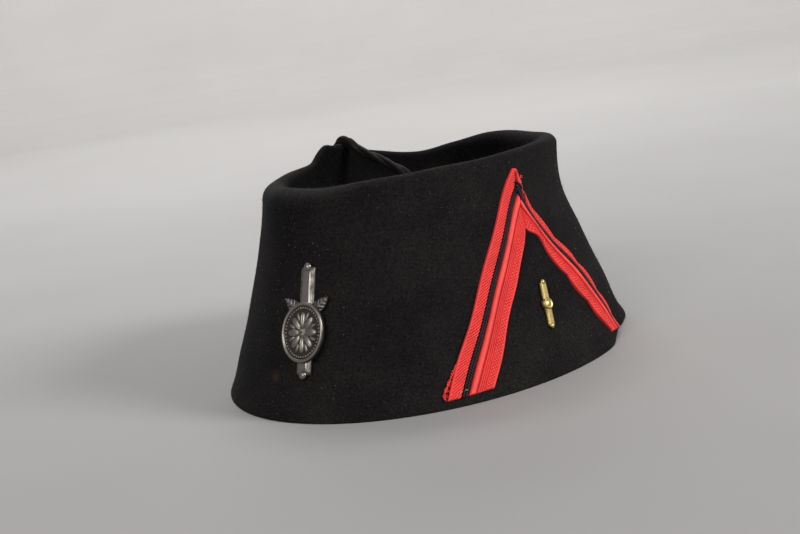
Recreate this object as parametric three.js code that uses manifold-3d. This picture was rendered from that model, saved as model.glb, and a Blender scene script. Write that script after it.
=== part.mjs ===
// A felt fez with a pushed-in top, a ribbon chevron on its left side, two metal badges,
// and a cord that leaves the sunken tip, crosses the rim and carries a tassel.
// Millimetres, +Z up. The origin is the centre of the base, the front faces -Y and the wearer's left is +X.
// A turn is an angle round the hat in degrees: 0 at the front, 90 at the wearer's left, 180 at the back.

import * as THREE from 'three';
import { mergeVertices } from 'three/addons/utils/BufferGeometryUtils.js';
import Module from 'manifold-3d';

const wasm = await Module();
wasm.setup();

// Clear gap between neighbouring pieces
const GAP = 0.3;

// Felt crown
const FELT = 2;
const TURN_STEP = 6;
const WALL_RINGS = 11;
const FOLD_RINGS = 6;
const BOWL_RINGS = 6;
const TIP_RINGS = 3;

// Outer wall: one level oval in each row, with its reach to the front, to the back and to either side,
// and the share by which its back half narrows into an egg
const WALL_SECTIONS = [
  { height: 0, front: 103, back: 103, side: 86.5, taper: 0.11 },
  { height: 7, front: 99.7, back: 98.5, side: 83, taper: 0.09 },
  { height: 23, front: 93.2, back: 92.8, side: 77.2, taper: 0.03 },
  { height: 46, front: 83.8, back: 84.2, side: 69.6, taper: 0.02 },
  { height: 69, front: 75.2, back: 76.4, side: 63.6, taper: 0.02 },
  { height: 92, front: 69, back: 80.5, side: 60.8, taper: -0.1 },
];

// Rim: its height and fold radius by turn, low behind on the right and peaked where the cord crosses
const RIM = [
  { turn: 0, height: 88.5, fold: 9 },
  { turn: 22, height: 90, fold: 5.5 },
  { turn: 50, height: 91, fold: 2.8 },
  { turn: 90, height: 91.5, fold: 2.6 },
  { turn: 122, height: 90, fold: 4 },
  { turn: 150, height: 88.9, fold: 6.5 },
  { turn: 182, height: 88.6, fold: 6 },
  { turn: 200, height: 85.3, fold: 4 },
  { turn: 216, height: 82.8, fold: 3.5 },
  { turn: 234, height: 86.4, fold: 3 },
  { turn: 246, height: 90.3, fold: 3 },
  { turn: 252, height: 94, fold: 3 },
  { turn: 256, height: 94.1, fold: 2.8 },
  { turn: 259, height: 95.1, fold: 2.4 },
  { turn: 262, height: 92.9, fold: 2.4 },
  { turn: 266, height: 88.8, fold: 2.8 },
  { turn: 273, height: 88, fold: 3.5 },
  { turn: 300, height: 87.4, fold: 5 },
  { turn: 330, height: 87.6, fold: 8 },
];

// Soft crease that the felt takes along the back leg of the chevron
const CREASE = [
  { height: 0, turn: 106.5, rise: 0.6 },
  { height: 20, turn: 102.5, rise: 1.2 },
  { height: 41, turn: 95.5, rise: 1.4 },
  { height: 62, turn: 86, rise: 0.8 },
  { height: 92, turn: 79, rise: 0 },
];
const CREASE_HALF_WIDTH = 9;
const CREASE_ROUNDING = 4;

// Hem: how far the foot of the wall is pushed out by turn, pinched in under the chevron's back leg;
// the push fades up the wall
const HEM = [
  { turn: 0, push: 0 },
  { turn: 60, push: 0 },
  { turn: 90, push: 0.2 },
  { turn: 98, push: -0.4 },
  { turn: 105, push: -3 },
  { turn: 112, push: -3.8 },
  { turn: 119, push: -1.6 },
  { turn: 127, push: 0.9 },
  { turn: 138, push: 2 },
  { turn: 155, push: 0.6 },
  { turn: 175, push: 0 },
  { turn: 230, push: 0 },
  { turn: 300, push: 0 },
];
const HEM_FADE = 18;

// Sunken tip: the bowl below the rim ends in a nearly level oval
const TIP = { height: 66, dish: 2, front: 44, back: 48, side: 34, taper: 0 };
const BOWL_DROP = 0.75;
const BOWL_RUN = 0.6;

// Chevron: each leg from its cut end (station 0) to the mitre (station 5), by its two edges on the wall
// and the share of its width at which the black stripe runs
const FRONT_LEG = [
  { station: 0, outerTurn: 41.8, outerHeight: 3, innerTurn: 54.3, innerHeight: 3.8, stripe: 0.355 },
  { station: 1, outerTurn: 48.2, outerHeight: 20.5, innerTurn: 59.3, innerHeight: 16.4, stripe: 0.365 },
  { station: 2, outerTurn: 55.2, outerHeight: 38, innerTurn: 64.8, innerHeight: 30.3, stripe: 0.37 },
  { station: 3, outerTurn: 63.5, outerHeight: 55.3, innerTurn: 70.4, innerHeight: 41.4, stripe: 0.365 },
  { station: 4, outerTurn: 72.4, outerHeight: 73.3, innerTurn: 76, innerHeight: 51.5, stripe: 0.345 },
  { station: 5, outerTurn: 81.2, outerHeight: 84.6, innerTurn: 78.7, innerHeight: 57.7, stripe: 0.3 },
];
const BACK_LEG = [
  { station: 0, outerTurn: 110.9, outerHeight: 1.4, innerTurn: 100.6, innerHeight: 4.8, stripe: 0.24 },
  { station: 1, outerTurn: 102.7, outerHeight: 21.1, innerTurn: 95.3, innerHeight: 18.1, stripe: 0.24 },
  { station: 2, outerTurn: 97.4, outerHeight: 37.2, innerTurn: 90.6, innerHeight: 32.1, stripe: 0.25 },
  { station: 3, outerTurn: 90, outerHeight: 52.6, innerTurn: 85.4, innerHeight: 46.2, stripe: 0.33 },
  { station: 4, outerTurn: 83.8, outerHeight: 69.9, innerTurn: 83.2, innerHeight: 54.8, stripe: 0.43 },
  { station: 5, outerTurn: 81.2, outerHeight: 84.6, innerTurn: 78.7, innerHeight: 57.7, stripe: 0.3 },
];
const MITRE = 5;
const STEPS_PER_STATION = 3;
const STRIPE_HALF = 0.055;
const BAND_GAP = 0.018;
const BRAID_THICKNESS = 1.7;
const STRIPE_THICKNESS = 1.2;

// Front badge: a plain upright bar with an oval medallion on it and a leaf to each side
const BADGE = { turn: 1.6, height: 38.2, lean: 2.5 };
const BADGE_BAR = { length: 44, width: 7.4, tipWidth: 7, thickness: 1.5, bevel: 0.35 };
const BADGE_BALL = { radius: 1.7, flatten: 0.7, sides: 12, rings: 8 };
const MEDALLION = { radius: 11.2, rim: 1.4, bottom: 1.2, floor: 2.8, top: 3.6, sides: 36 };
const MEDALLION_PLACE = { below: 4.9, wide: 0.92, tall: 1.1 };
const ROSETTE = { petals: 8, reach: 4.6, length: 3.1, width: 1.5, rise: 0.8, sides: 8, rings: 6 };
const ROSETTE_HEART = { radius: 1.9, rise: 1 };
const LEAF = { length: 12, width: 5, thickness: 1.2, bottom: 0.2, curveSteps: 6 };
const LEAF_PLACE = { aside: 1.2, up: 2, spread: 52 };

// Side pin: a slim bar with a ball at each end and a round boss
const PIN = { turn: 77.4, height: 27.8, lean: -12.7 };
const PIN_BAR = { length: 18.6, width: 3.8, tipWidth: 3.6, thickness: 1.4, bevel: 0.3 };
const PIN_BALL = { radius: 1.2, flatten: 0.75, sides: 10, rings: 6 };
const PIN_BOSS = { radius: 2.7, topRadius: 2.2, height: 2, sides: 20 };

// Cord: points of its middle line in an upright plane, from the tip, behind the hat's centre, over the rim
const CORD_DIAMETER = 4.8;
const CORD_SIDES = 10;
const CORD_STEPS = 32;
const CORD_START_BACK = 8;
const CORD_HEADING = 251;
const CORD_ROUTE = [
  { out: 0, height: 64.5 },
  { out: 0.2, height: 67.2 },
  { out: 0.9, height: 70.1 },
  { out: 2.5, height: 73.1 },
  { out: 5, height: 75.9 },
  { out: 8.2, height: 78.6 },
  { out: 12.3, height: 80.9 },
  { out: 18, height: 82.9 },
  { out: 25, height: 84.9 },
  { out: 32, height: 86.9 },
  { out: 38.6, height: 88.6 },
  { out: 43.2, height: 89.8 },
  { out: 46.9, height: 90.9 },
  { out: 49.4, height: 91.8 },
  { out: 51.4, height: 93 },
  { out: 54.3, height: 94.7 },
  { out: 57.6, height: 95.3 },
  { out: 61.7, height: 94.4 },
  { out: 65, height: 91.8 },
  { out: 66.8, height: 88.6 },
  { out: 67.7, height: 84 },
  { out: 68.1, height: 78.3 },
  { out: 68.4, height: 72.6 },
];

// Tassel: a turned head and a skirt of locks round a core, hung along the slope of the wall
const TASSEL = { slope: 17, locks: 11 };
const TASSEL_HEAD = { radius: 5.3, length: 11, neck: 3.6, collar: 4.5, collarDrop: 2, sides: 14 };
const SKIRT = { length: 42, depth: 4.7, width: 7.4, topShare: 0.55, uneven: 1.5 };
const LOCK = { radius: 2.3, tipRadius: 1.9, sides: 6 };
const SKIRT_CORE = { topRadius: 2.9, radius: 4.2, length: 40, sides: 12 };

const radians = THREE.MathUtils.degToRad;

/** Row of a table at a place between its rows, by a cubic in each column; a period closes it on itself. */
function rowAt(rows, key, at, period = 0) {
  const last = rows.length - 1;
  const row = (i) => {
    if (!period) return rows[Math.min(Math.max(i, 0), last)];
    const lap = Math.floor(i / rows.length);
    const base = rows[i - lap * rows.length];
    return { ...base, [key]: base[key] + lap * period };
  };
  const place = period ? THREE.MathUtils.euclideanModulo(at, period) : at;
  let i = 0;
  while (i < (period ? last : last - 1) && row(i + 1)[key] <= place) i += 1;
  const [before, low, high, after] = [row(i - 1), row(i), row(i + 1), row(i + 2)];
  const span = high[key] - low[key];
  const t = (place - low[key]) / span;
  const result = {};
  for (const column of Object.keys(low)) {
    const slope = (a, b) => ((b[column] - a[column]) / (b[key] - a[key])) * span;
    const start = slope(before, high);
    const end = slope(low, after);
    const rise = high[column] - low[column];
    const bend = 3 * rise - 2 * start - end;
    const twist = start + end - 2 * rise;
    result[column] = low[column] + t * (start + t * (bend + t * twist));
  }
  return result;
}

const wallSection = (height) => rowAt(WALL_SECTIONS, 'height', height);

/** Reach and half-width of a level oval at a turn, as factors of the cosine and sine of that turn. */
function ovalAxes(section, turn) {
  const cosine = Math.cos(radians(turn));
  if (cosine >= 0) return { reach: section.front, side: section.side };
  return { reach: section.back, side: section.side * (1 - section.taper * cosine * cosine) };
}

function ovalPoint(section, turn, height) {
  const { reach, side } = ovalAxes(section, turn);
  return new THREE.Vector3(side * Math.sin(radians(turn)), -reach * Math.cos(radians(turn)), height);
}

/** Outward level direction of that oval at the same turn. */
function ovalOutward(section, turn) {
  const round = ovalPoint(section, turn + 1, 0).sub(ovalPoint(section, turn - 1, 0));
  return new THREE.Vector3(round.y, -round.x, 0).normalize();
}

/** How far the crease lifts the wall: a ridge with a rounded crest that fades to both sides of its line. */
function creaseRise(turn, height) {
  const crease = rowAt(CREASE, 'height', height);
  const away = THREE.MathUtils.euclideanModulo(turn - crease.turn + 180, 360) - 180;
  const fall = Math.hypot(away, CREASE_ROUNDING) - CREASE_ROUNDING;
  return crease.rise * Math.exp(-fall / CREASE_HALF_WIDTH);
}

const hemPush = (turn, height) => rowAt(HEM, 'turn', turn, 360).push * Math.exp(-height / HEM_FADE);

function wallPoint(turn, height) {
  const section = wallSection(height);
  const point = ovalPoint(section, turn, height);
  const push = creaseRise(turn, height) + hemPush(turn, height);
  return point.addScaledVector(ovalOutward(section, turn), push);
}

/** Outward direction of the wall, from its neighbours up the wall and round it. */
function wallNormal(turn, height) {
  const up = wallPoint(turn, height + 1).sub(wallPoint(turn, height - 1));
  const round = wallPoint(turn + 1, height).sub(wallPoint(turn - 1, height));
  return round.cross(up).normalize();
}

/** Outer line of the felt at one turn: up the wall, over the fold, down the bowl, to the tip's centre. */
function feltLine(turn) {
  const rim = rowAt(RIM, 'turn', turn, 360);
  const foldStart = rim.height - rim.fold;
  const line = [];
  for (let i = 0; i <= WALL_RINGS; i += 1) line.push(wallPoint(turn, (foldStart * i) / WALL_RINGS));

  const outward = ovalOutward(wallSection(foldStart), turn);
  const axis = line[WALL_RINGS].clone().addScaledVector(outward, -rim.fold);
  for (let i = 1; i <= FOLD_RINGS; i += 1) {
    const angle = (Math.PI * i) / FOLD_RINGS;
    const point = axis.clone().addScaledVector(outward, rim.fold * Math.cos(angle));
    point.z += rim.fold * Math.sin(angle);
    line.push(point);
  }

  const top = line[line.length - 1];
  const tipEdge = ovalPoint(TIP, turn, TIP.height);
  const drop = top.clone().setZ(THREE.MathUtils.lerp(top.z, TIP.height, BOWL_DROP));
  const run = tipEdge.clone().lerp(top.clone().setZ(TIP.height), BOWL_RUN);
  const bowl = new THREE.CubicBezierCurve3(top, drop, run, tipEdge);
  for (let i = 1; i <= BOWL_RINGS; i += 1) line.push(bowl.getPoint(i / BOWL_RINGS));

  for (let i = 1; i <= TIP_RINGS; i += 1) {
    const share = 1 - i / TIP_RINGS;
    line.push(tipEdge.clone().multiplyScalar(share).setZ(TIP.height - TIP.dish * (1 - share * share)));
  }
  return line;
}

/** Surface direction at each grid point: the cross of its neighbours round the turn and along the line. */
function gridNormals(lines) {
  const turns = lines.length;
  return lines.map((line, j) => line.map((point, i) => {
    if (i === line.length - 1) return new THREE.Vector3(0, 0, 1);
    const along = line[i + 1].clone().sub(line[Math.max(i - 1, 0)]);
    const round = lines[(j + 1) % turns][i].clone().sub(lines[(j + turns - 1) % turns][i]);
    return round.cross(along).normalize();
  }));
}

function geometryFrom(points, triangles) {
  const geometry = new THREE.BufferGeometry();
  geometry.setFromPoints(points);
  geometry.setIndex(triangles);
  geometry.computeVertexNormals();
  return geometry;
}

/** One felt wall, folded inwards at the rim and closed by the tip; its foot is a flat ring at height 0. */
function feltCrown() {
  const turns = 360 / TURN_STEP;
  const outer = Array.from({ length: turns }, (_, j) => feltLine(j * TURN_STEP));
  const normals = gridNormals(outer);
  const inner = outer.map((line, j) => line.map((point, i) => {
    const normal = normals[j][i];
    if (i === 0) normal.setZ(0).normalize();
    return point.clone().addScaledVector(normal, -FELT);
  }));

  const rings = outer[0].length - 1;
  const skinSize = rings * turns + 1;
  const points = [outer, inner].flatMap((lines) => {
    const skin = [];
    for (let i = 0; i < rings; i += 1) lines.forEach((line) => skin.push(line[i]));
    return [...skin, lines[0][rings]];
  });
  const out = (i, j) => (i === rings ? rings * turns : i * turns + (j % turns));
  const inn = (i, j) => skinSize + out(i, j);

  const triangles = [];
  const quad = (a, b, c, d) => triangles.push(a, b, c, a, c, d);
  for (let j = 0; j < turns; j += 1) {
    for (let i = 0; i < rings - 1; i += 1) {
      quad(out(i, j), out(i, j + 1), out(i + 1, j + 1), out(i + 1, j));
      quad(inn(i, j), inn(i + 1, j), inn(i + 1, j + 1), inn(i, j + 1));
    }
    triangles.push(out(rings - 1, j), out(rings - 1, j + 1), out(rings, 0));
    triangles.push(inn(rings - 1, j), inn(rings, 0), inn(rings - 1, j + 1));
    quad(out(0, j), inn(0, j), inn(0, j + 1), out(0, j + 1));
  }
  return geometryFrom(points, triangles);
}

/** Place on a leg: a share of its width from the outer edge, at a station along it, lifted off the wall. */
function legPoint(leg, station, share, lift) {
  const row = rowAt(leg, 'station', station);
  const turn = THREE.MathUtils.lerp(row.outerTurn, row.innerTurn, share(row.stripe));
  const height = THREE.MathUtils.lerp(row.outerHeight, row.innerHeight, share(row.stripe));
  return wallPoint(turn, height).addScaledVector(wallNormal(turn, height), lift);
}

/** One strip of the chevron between shares of its width, up the front leg and down the back leg. */
function chevronStrip(shares, thickness) {
  const steps = MITRE * STEPS_PER_STATION;
  const sections = [];
  for (let i = -steps; i <= steps; i += 1) {
    const leg = i <= 0 ? FRONT_LEG : BACK_LEG;
    const station = MITRE - Math.abs(i) / STEPS_PER_STATION;
    const low = shares.map((share) => legPoint(leg, station, share, GAP));
    const high = shares.map((share) => legPoint(leg, station, share, GAP + thickness));
    sections.push([...low, ...high.reverse()]);
  }
  const count = sections[0].length;
  const triangles = [];
  for (let i = 0; i < sections.length - 1; i += 1) {
    for (let k = 0; k < count; k += 1) {
      const [a, b] = [i * count + k, i * count + ((k + 1) % count)];
      triangles.push(a, a + count, b + count, a, b + count, b);
    }
  }
  const end = (sections.length - 1) * count;
  for (let k = 0; k < count / 2 - 1; k += 1) {
    const [a, b, c, d] = [k, k + 1, count - 2 - k, count - 1 - k];
    triangles.push(a, b, c, a, c, d);
    triangles.push(end + a, end + c, end + b, end + a, end + d, end + c);
  }
  return geometryFrom(sections.flat(), triangles);
}

/** Shares of the width from one edge to another, in equal parts, as functions of the stripe's share. */
const between = (from, to, parts) => Array.from({ length: parts + 1 }, (_, i) => (stripe) => (
  THREE.MathUtils.lerp(from(stripe), to(stripe), i / parts)
));

function outerBraid() {
  return chevronStrip(between(() => 0, (stripe) => stripe - STRIPE_HALF - BAND_GAP, 2), BRAID_THICKNESS);
}

function blackStripe() {
  const shares = between((stripe) => stripe - STRIPE_HALF, (stripe) => stripe + STRIPE_HALF, 1);
  return chevronStrip(shares, STRIPE_THICKNESS);
}

function innerBraid() {
  return chevronStrip(between((stripe) => stripe + STRIPE_HALF + BAND_GAP, () => 1, 3), BRAID_THICKNESS);
}

/** A geometry, placed, as a closed solid that can be joined to others. */
function solidOf(geometry, matrix = new THREE.Matrix4()) {
  const bare = geometry.clone();
  bare.deleteAttribute('normal');
  bare.deleteAttribute('uv');
  const merged = mergeVertices(bare.applyMatrix4(matrix), 1e-4);
  return new wasm.Manifold(new wasm.Mesh({
    numProp: 3,
    vertProperties: merged.attributes.position.array,
    triVerts: new Uint32Array(merged.index.array),
  }));
}

function fused(solids) {
  const mesh = solids.reduce((whole, solid) => whole.add(solid)).getMesh();
  const geometry = new THREE.BufferGeometry();
  geometry.setAttribute('position', new THREE.BufferAttribute(mesh.vertProperties, 3));
  geometry.setIndex(new THREE.BufferAttribute(mesh.triVerts, 1));
  geometry.computeVertexNormals();
  return geometry;
}

const placed = (x, y, z, turned = new THREE.Euler(), scale = [1, 1, 1]) => new THREE.Matrix4().compose(
  new THREE.Vector3(x, y, z),
  new THREE.Quaternion().setFromEuler(turned),
  new THREE.Vector3(...scale),
);

/** A flat bar along Y, from z = 0 up, that narrows to both ends. */
function taperedBar({ length, width, tipWidth, thickness, bevel }) {
  const [half, wide, narrow] = [length / 2 - bevel, width / 2 - bevel, tipWidth / 2 - bevel];
  const outline = new THREE.Shape([
    new THREE.Vector2(narrow, -half),
    new THREE.Vector2(wide, 0),
    new THREE.Vector2(narrow, half),
    new THREE.Vector2(-narrow, half),
    new THREE.Vector2(-wide, 0),
    new THREE.Vector2(-narrow, -half),
  ]);
  const bar = new THREE.ExtrudeGeometry(outline, {
    depth: thickness - 2 * bevel,
    bevelThickness: bevel,
    bevelSize: bevel,
    bevelSegments: 1,
  });
  return solidOf(bar, placed(0, 0, bevel));
}

/** A flattened ball on each end of a bar. */
function endBalls(bar, { radius, flatten, sides, rings }) {
  const ball = new THREE.SphereGeometry(radius, sides, rings);
  return [-1, 1].map((end) => (
    solidOf(ball, placed(0, (end * bar.length) / 2, radius * flatten, undefined, [1, 1, flatten]))
  ));
}

const UPRIGHT = new THREE.Euler(Math.PI / 2, 0, 0);

function frontBadge() {
  const { radius, rim, bottom, floor, top, sides } = MEDALLION;
  const { below, wide, tall } = MEDALLION_PLACE;
  const disc = new THREE.LatheGeometry([
    new THREE.Vector2(0, bottom),
    new THREE.Vector2(radius - rim / 2, bottom),
    new THREE.Vector2(radius, bottom + rim / 2),
    new THREE.Vector2(radius, top - rim / 4),
    new THREE.Vector2(radius - rim / 4, top),
    new THREE.Vector2(radius - rim, top),
    new THREE.Vector2(radius - rim * 1.5, floor),
    new THREE.Vector2(0, floor),
  ], sides);
  const solids = [taperedBar(BADGE_BAR), ...endBalls(BADGE_BAR, BADGE_BALL)];
  solids.push(solidOf(disc, placed(0, -below, 0, UPRIGHT, [wide, 1, tall])));

  const petal = new THREE.SphereGeometry(1, ROSETTE.sides, ROSETTE.rings);
  for (let i = 0; i < ROSETTE.petals; i += 1) {
    const angle = (2 * Math.PI * i) / ROSETTE.petals;
    const [x, y] = [ROSETTE.reach * wide * Math.cos(angle), ROSETTE.reach * tall * Math.sin(angle) - below];
    const size = [ROSETTE.length, ROSETTE.width, ROSETTE.rise];
    solids.push(solidOf(petal, placed(x, y, floor, new THREE.Euler(0, 0, angle), size)));
  }
  const heart = [ROSETTE_HEART.radius, ROSETTE_HEART.radius, ROSETTE_HEART.rise];
  solids.push(solidOf(petal, placed(0, -below, floor, undefined, heart)));

  const outline = new THREE.Shape();
  outline.moveTo(0, 0);
  outline.quadraticCurveTo(LEAF.width, LEAF.length / 2, 0, LEAF.length);
  outline.quadraticCurveTo(-LEAF.width, LEAF.length / 2, 0, 0);
  const leaf = new THREE.ExtrudeGeometry(outline, {
    depth: LEAF.thickness,
    bevelEnabled: false,
    curveSegments: LEAF.curveSteps,
  });
  for (const hand of [-1, 1]) {
    const spread = new THREE.Euler(0, 0, radians(-hand * LEAF_PLACE.spread));
    solids.push(solidOf(leaf, placed(hand * LEAF_PLACE.aside, LEAF_PLACE.up, LEAF.bottom, spread)));
  }
  return fused(solids);
}

function sidePin() {
  const { topRadius, radius, height, sides } = PIN_BOSS;
  const boss = new THREE.CylinderGeometry(topRadius, radius, height, sides);
  const centre = solidOf(boss, placed(0, 0, height / 2, UPRIGHT));
  return fused([taperedBar(PIN_BAR), ...endBalls(PIN_BAR, PIN_BALL), centre]);
}

/** Stands a flat piece on the wall: its X level, its Y up the wall, its Z outwards, leaned about that Z. */
function seatOnWall(mesh, { turn, height, lean }) {
  const normal = wallNormal(turn, height);
  const level = new THREE.Vector3(0, 0, 1).cross(normal).normalize();
  const up = normal.clone().cross(level);
  mesh.quaternion.setFromRotationMatrix(new THREE.Matrix4().makeBasis(level, up, normal));
  mesh.rotateZ(radians(lean));
  mesh.position.copy(wallPoint(turn, height)).addScaledVector(normal, GAP);
  return mesh;
}

const HEADING = new THREE.Vector3(Math.sin(radians(CORD_HEADING)), -Math.cos(radians(CORD_HEADING)), 0);

function inCordPlane({ out, height }) {
  return new THREE.Vector3(0, CORD_START_BACK, height).addScaledVector(HEADING, out);
}

function tasselCord() {
  const route = new THREE.CatmullRomCurve3(CORD_ROUTE.map(inCordPlane), false, 'centripetal');
  const section = new THREE.Shape();
  section.absarc(0, 0, CORD_DIAMETER / 2, 0, 2 * Math.PI);
  return new THREE.ExtrudeGeometry(section, {
    steps: CORD_STEPS,
    curveSegments: CORD_SIDES / 2,
    extrudePath: route,
  });
}

/** Head and locks about the Z axis, from z = 0 down, all joined; X is away from the wall. */
function tasselForm() {
  const { radius, length, neck, collar, collarDrop, sides } = TASSEL_HEAD;
  const head = new THREE.LatheGeometry([
    new THREE.Vector2(0, -length - collarDrop),
    new THREE.Vector2(collar, -length - collarDrop),
    new THREE.Vector2(neck, -length),
    new THREE.Vector2(radius * 0.9, -length * 0.75),
    new THREE.Vector2(radius, -length * 0.5),
    new THREE.Vector2(radius * 0.85, -length * 0.2),
    new THREE.Vector2(radius * 0.5, 0),
    new THREE.Vector2(0, 0),
  ], sides);
  const core = new THREE.CylinderGeometry(
    SKIRT_CORE.topRadius,
    SKIRT_CORE.radius,
    SKIRT_CORE.length,
    SKIRT_CORE.sides,
  );
  const solids = [
    solidOf(head, placed(0, 0, 0, UPRIGHT)),
    solidOf(core, placed(0, 0, -length - SKIRT_CORE.length / 2, UPRIGHT)),
  ];
  for (let i = 0; i < TASSEL.locks; i += 1) {
    const angle = (2 * Math.PI * i) / TASSEL.locks;
    const drop = SKIRT.length + SKIRT.uneven * Math.sin(5 * angle + 1);
    const spread = new THREE.Vector3(SKIRT.depth * Math.cos(angle), SKIRT.width * Math.sin(angle), 0);
    const top = spread.clone().multiplyScalar(SKIRT.topShare).setZ(-length);
    const low = spread.clone().setZ(-length - drop);
    const axis = top.clone().sub(low);
    const lock = new THREE.CylinderGeometry(LOCK.radius, LOCK.tipRadius, axis.length(), LOCK.sides);
    const lean = new THREE.Quaternion().setFromUnitVectors(new THREE.Vector3(0, 1, 0), axis.normalize());
    const middle = top.add(low).multiplyScalar(0.5);
    solids.push(solidOf(lock, new THREE.Matrix4().compose(middle, lean, new THREE.Vector3(1, 1, 1))));
  }
  return fused(solids);
}

/** Hangs the tassel from the cord's end, its axis down the slope of the wall. */
function hangTassel(mesh) {
  const down = HEADING.clone().multiplyScalar(Math.sin(radians(TASSEL.slope)));
  down.setZ(-Math.cos(radians(TASSEL.slope)));
  const aside = new THREE.Vector3(0, 0, 1).cross(HEADING);
  const away = down.clone().cross(aside);
  mesh.quaternion.setFromRotationMatrix(new THREE.Matrix4().makeBasis(away, aside, down.clone().negate()));
  mesh.position.copy(inCordPlane(CORD_ROUTE[CORD_ROUTE.length - 1])).addScaledVector(down, 2 * GAP);
  return mesh;
}

function material(color, roughness, metalness = 0) {
  return new THREE.MeshStandardMaterial({ color, roughness, metalness });
}

const RED = 0xd2322f;

function piece(name, geometry, surface) {
  const mesh = new THREE.Mesh(geometry, surface);
  mesh.name = name;
  return mesh;
}

const fez = new THREE.Group();
fez.add(piece('felt_crown', feltCrown(), material(0x17181a, 0.95)));
fez.add(piece('chevron_outer_band', outerBraid(), material(RED, 0.8)));
fez.add(piece('chevron_stripe', blackStripe(), material(0x1b1b20, 0.7)));
fez.add(piece('chevron_inner_band', innerBraid(), material(RED, 0.8)));
fez.add(seatOnWall(piece('front_badge', frontBadge(), material(0x8b8b8a, 0.4, 1)), BADGE));
fez.add(seatOnWall(piece('side_pin', sidePin(), material(0xb8963f, 0.3, 1)), PIN));
fez.add(piece('tassel_cord', tasselCord(), material(0x1d1b1c, 0.8)));
fez.add(hangTassel(piece('tassel', tasselForm(), material(0x1a191b, 0.8))));

export default fez;
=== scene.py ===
"""Felt fez with a braid chevron, a metal badge, a bar pin and a corded tassel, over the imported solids.

Tables and sizes are in millimetres and degrees; a mesh gets metres. +Z is up, the front faces -Y and the
wearer's left is +X. A turn is an angle round the hat: 0 at the front, 90 at the wearer's left and 180 at
the back.
"""

import bpy
import numpy as np
from mathutils import Matrix


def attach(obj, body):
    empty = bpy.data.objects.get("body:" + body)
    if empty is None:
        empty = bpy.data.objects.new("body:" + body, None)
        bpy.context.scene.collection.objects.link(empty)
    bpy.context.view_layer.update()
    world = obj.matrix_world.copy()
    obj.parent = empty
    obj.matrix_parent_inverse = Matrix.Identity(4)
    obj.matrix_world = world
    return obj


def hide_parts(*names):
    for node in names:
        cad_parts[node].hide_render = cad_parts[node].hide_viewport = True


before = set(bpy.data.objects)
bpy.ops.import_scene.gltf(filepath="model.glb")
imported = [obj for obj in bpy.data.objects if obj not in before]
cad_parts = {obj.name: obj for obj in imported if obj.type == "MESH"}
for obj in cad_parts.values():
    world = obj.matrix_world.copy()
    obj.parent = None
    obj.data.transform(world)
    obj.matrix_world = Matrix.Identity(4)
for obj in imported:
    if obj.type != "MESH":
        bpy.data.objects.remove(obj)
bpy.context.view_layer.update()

MM = 0.001
BODY = "root"
GAP = 0.3
UP = np.array([0.0, 0.0, 1.0])


def table(columns, *rows):
    """Columns of a short table, as arrays by name."""
    return dict(zip(columns.split(), np.array(rows, float).T))


# Felt crown: the wall's ovals by height, the rim and hem by turn, the back leg's crease, the sunken tip
FELT = 2
OVAL = ("front", "back", "side", "taper")
WALL = table(
    "height front back side taper",
    (0, 103, 103, 86.5, 0.11),
    (7, 99.7, 98.5, 83, 0.09),
    (23, 93.2, 92.8, 77.2, 0.03),
    (46, 83.8, 84.2, 69.6, 0.02),
    (69, 75.2, 76.4, 63.6, 0.02),
    (92, 69, 80.5, 60.8, -0.1),
)
RIM = table(
    "turn height fold",
    (0, 88.5, 9),
    (22, 90, 5.5),
    (50, 91, 2.8),
    (90, 91.5, 2.6),
    (122, 90, 4),
    (150, 88.9, 6.5),
    (182, 88.6, 6),
    (200, 85.3, 4),
    (216, 82.8, 3.5),
    (234, 86.4, 3),
    (246, 90.3, 3),
    (252, 94, 3),
    (256, 94.1, 2.8),
    (259, 95.1, 2.4),
    (262, 92.9, 2.4),
    (266, 88.8, 2.8),
    (273, 88, 3.5),
    (300, 87.4, 5),
    (330, 87.6, 8),
)
CREASE = table(
    "height turn rise",
    (0, 106.5, 0.6),
    (20, 102.5, 1.2),
    (41, 95.5, 1.4),
    (62, 86, 0.8),
    (92, 79, 0),
)
CREASE_HALF_WIDTH = 9
CREASE_ROUNDING = 4
HEM = table(
    "turn push",
    (0, 0),
    (60, 0),
    (90, 0.2),
    (98, -0.4),
    (105, -3),
    (112, -3.8),
    (119, -1.6),
    (127, 0.9),
    (138, 2),
    (155, 0.6),
    (175, 0),
    (230, 0),
    (300, 0),
)
HEM_FADE = 18
TIP = {"height": 66, "dish": 2, "front": 44, "back": 48, "side": 34, "taper": 0}
BOWL_DROP = 0.75
BOWL_RUN = 0.6

# Felt skin: grid, rounded foot, rings of painted rim highlight and painted hollow shade, and shallow dents
FELT_TURNS = 300
FELT_RINGS = {"wall": 84, "fold": 24, "bowl": 40, "tip": 12}
INNER_RING_STEP = 2
FOOT_EDGE = 0.7
FOOT_STEPS = 4
# rings of a painted highlight along the rim's top and of painted shade down the hollow
PAINTED_RIM_HIGHLIGHT = {"ring": 7, "spread": 1.6}
PAINTED_HOLLOW_SHADE = {"ring": 3, "spread": 10}
DENT = {"rise": 0.22, "length": 42, "spread": (0.5, 1.5), "waves": 26, "seed": 3}
DENT_FADE = {"start": 4, "run": 12}

# Loose fibres: the felt's nap, and pale specks of lint outside, with more of them high on the wall
NAP = {"count": 6500, "seed": 21, "length": (0.5, 1.2), "radius": 0.025, "lift": (0.1, 0.9), "low": 0}
SPECKS = {"count": 400, "seed": 22, "length": (0.15, 0.4), "radius": 0.04, "lift": (0.02, 0.3), "low": 0}
HIGH_SPECKS = {**SPECKS, "count": 220, "seed": 23, "length": (0.15, 0.45), "radius": 0.05, "low": 40}
FIBRE = {"steps": 4, "sides": 3, "curl": 0.5, "clear": 0.06, "tilt": 0.1}

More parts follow.
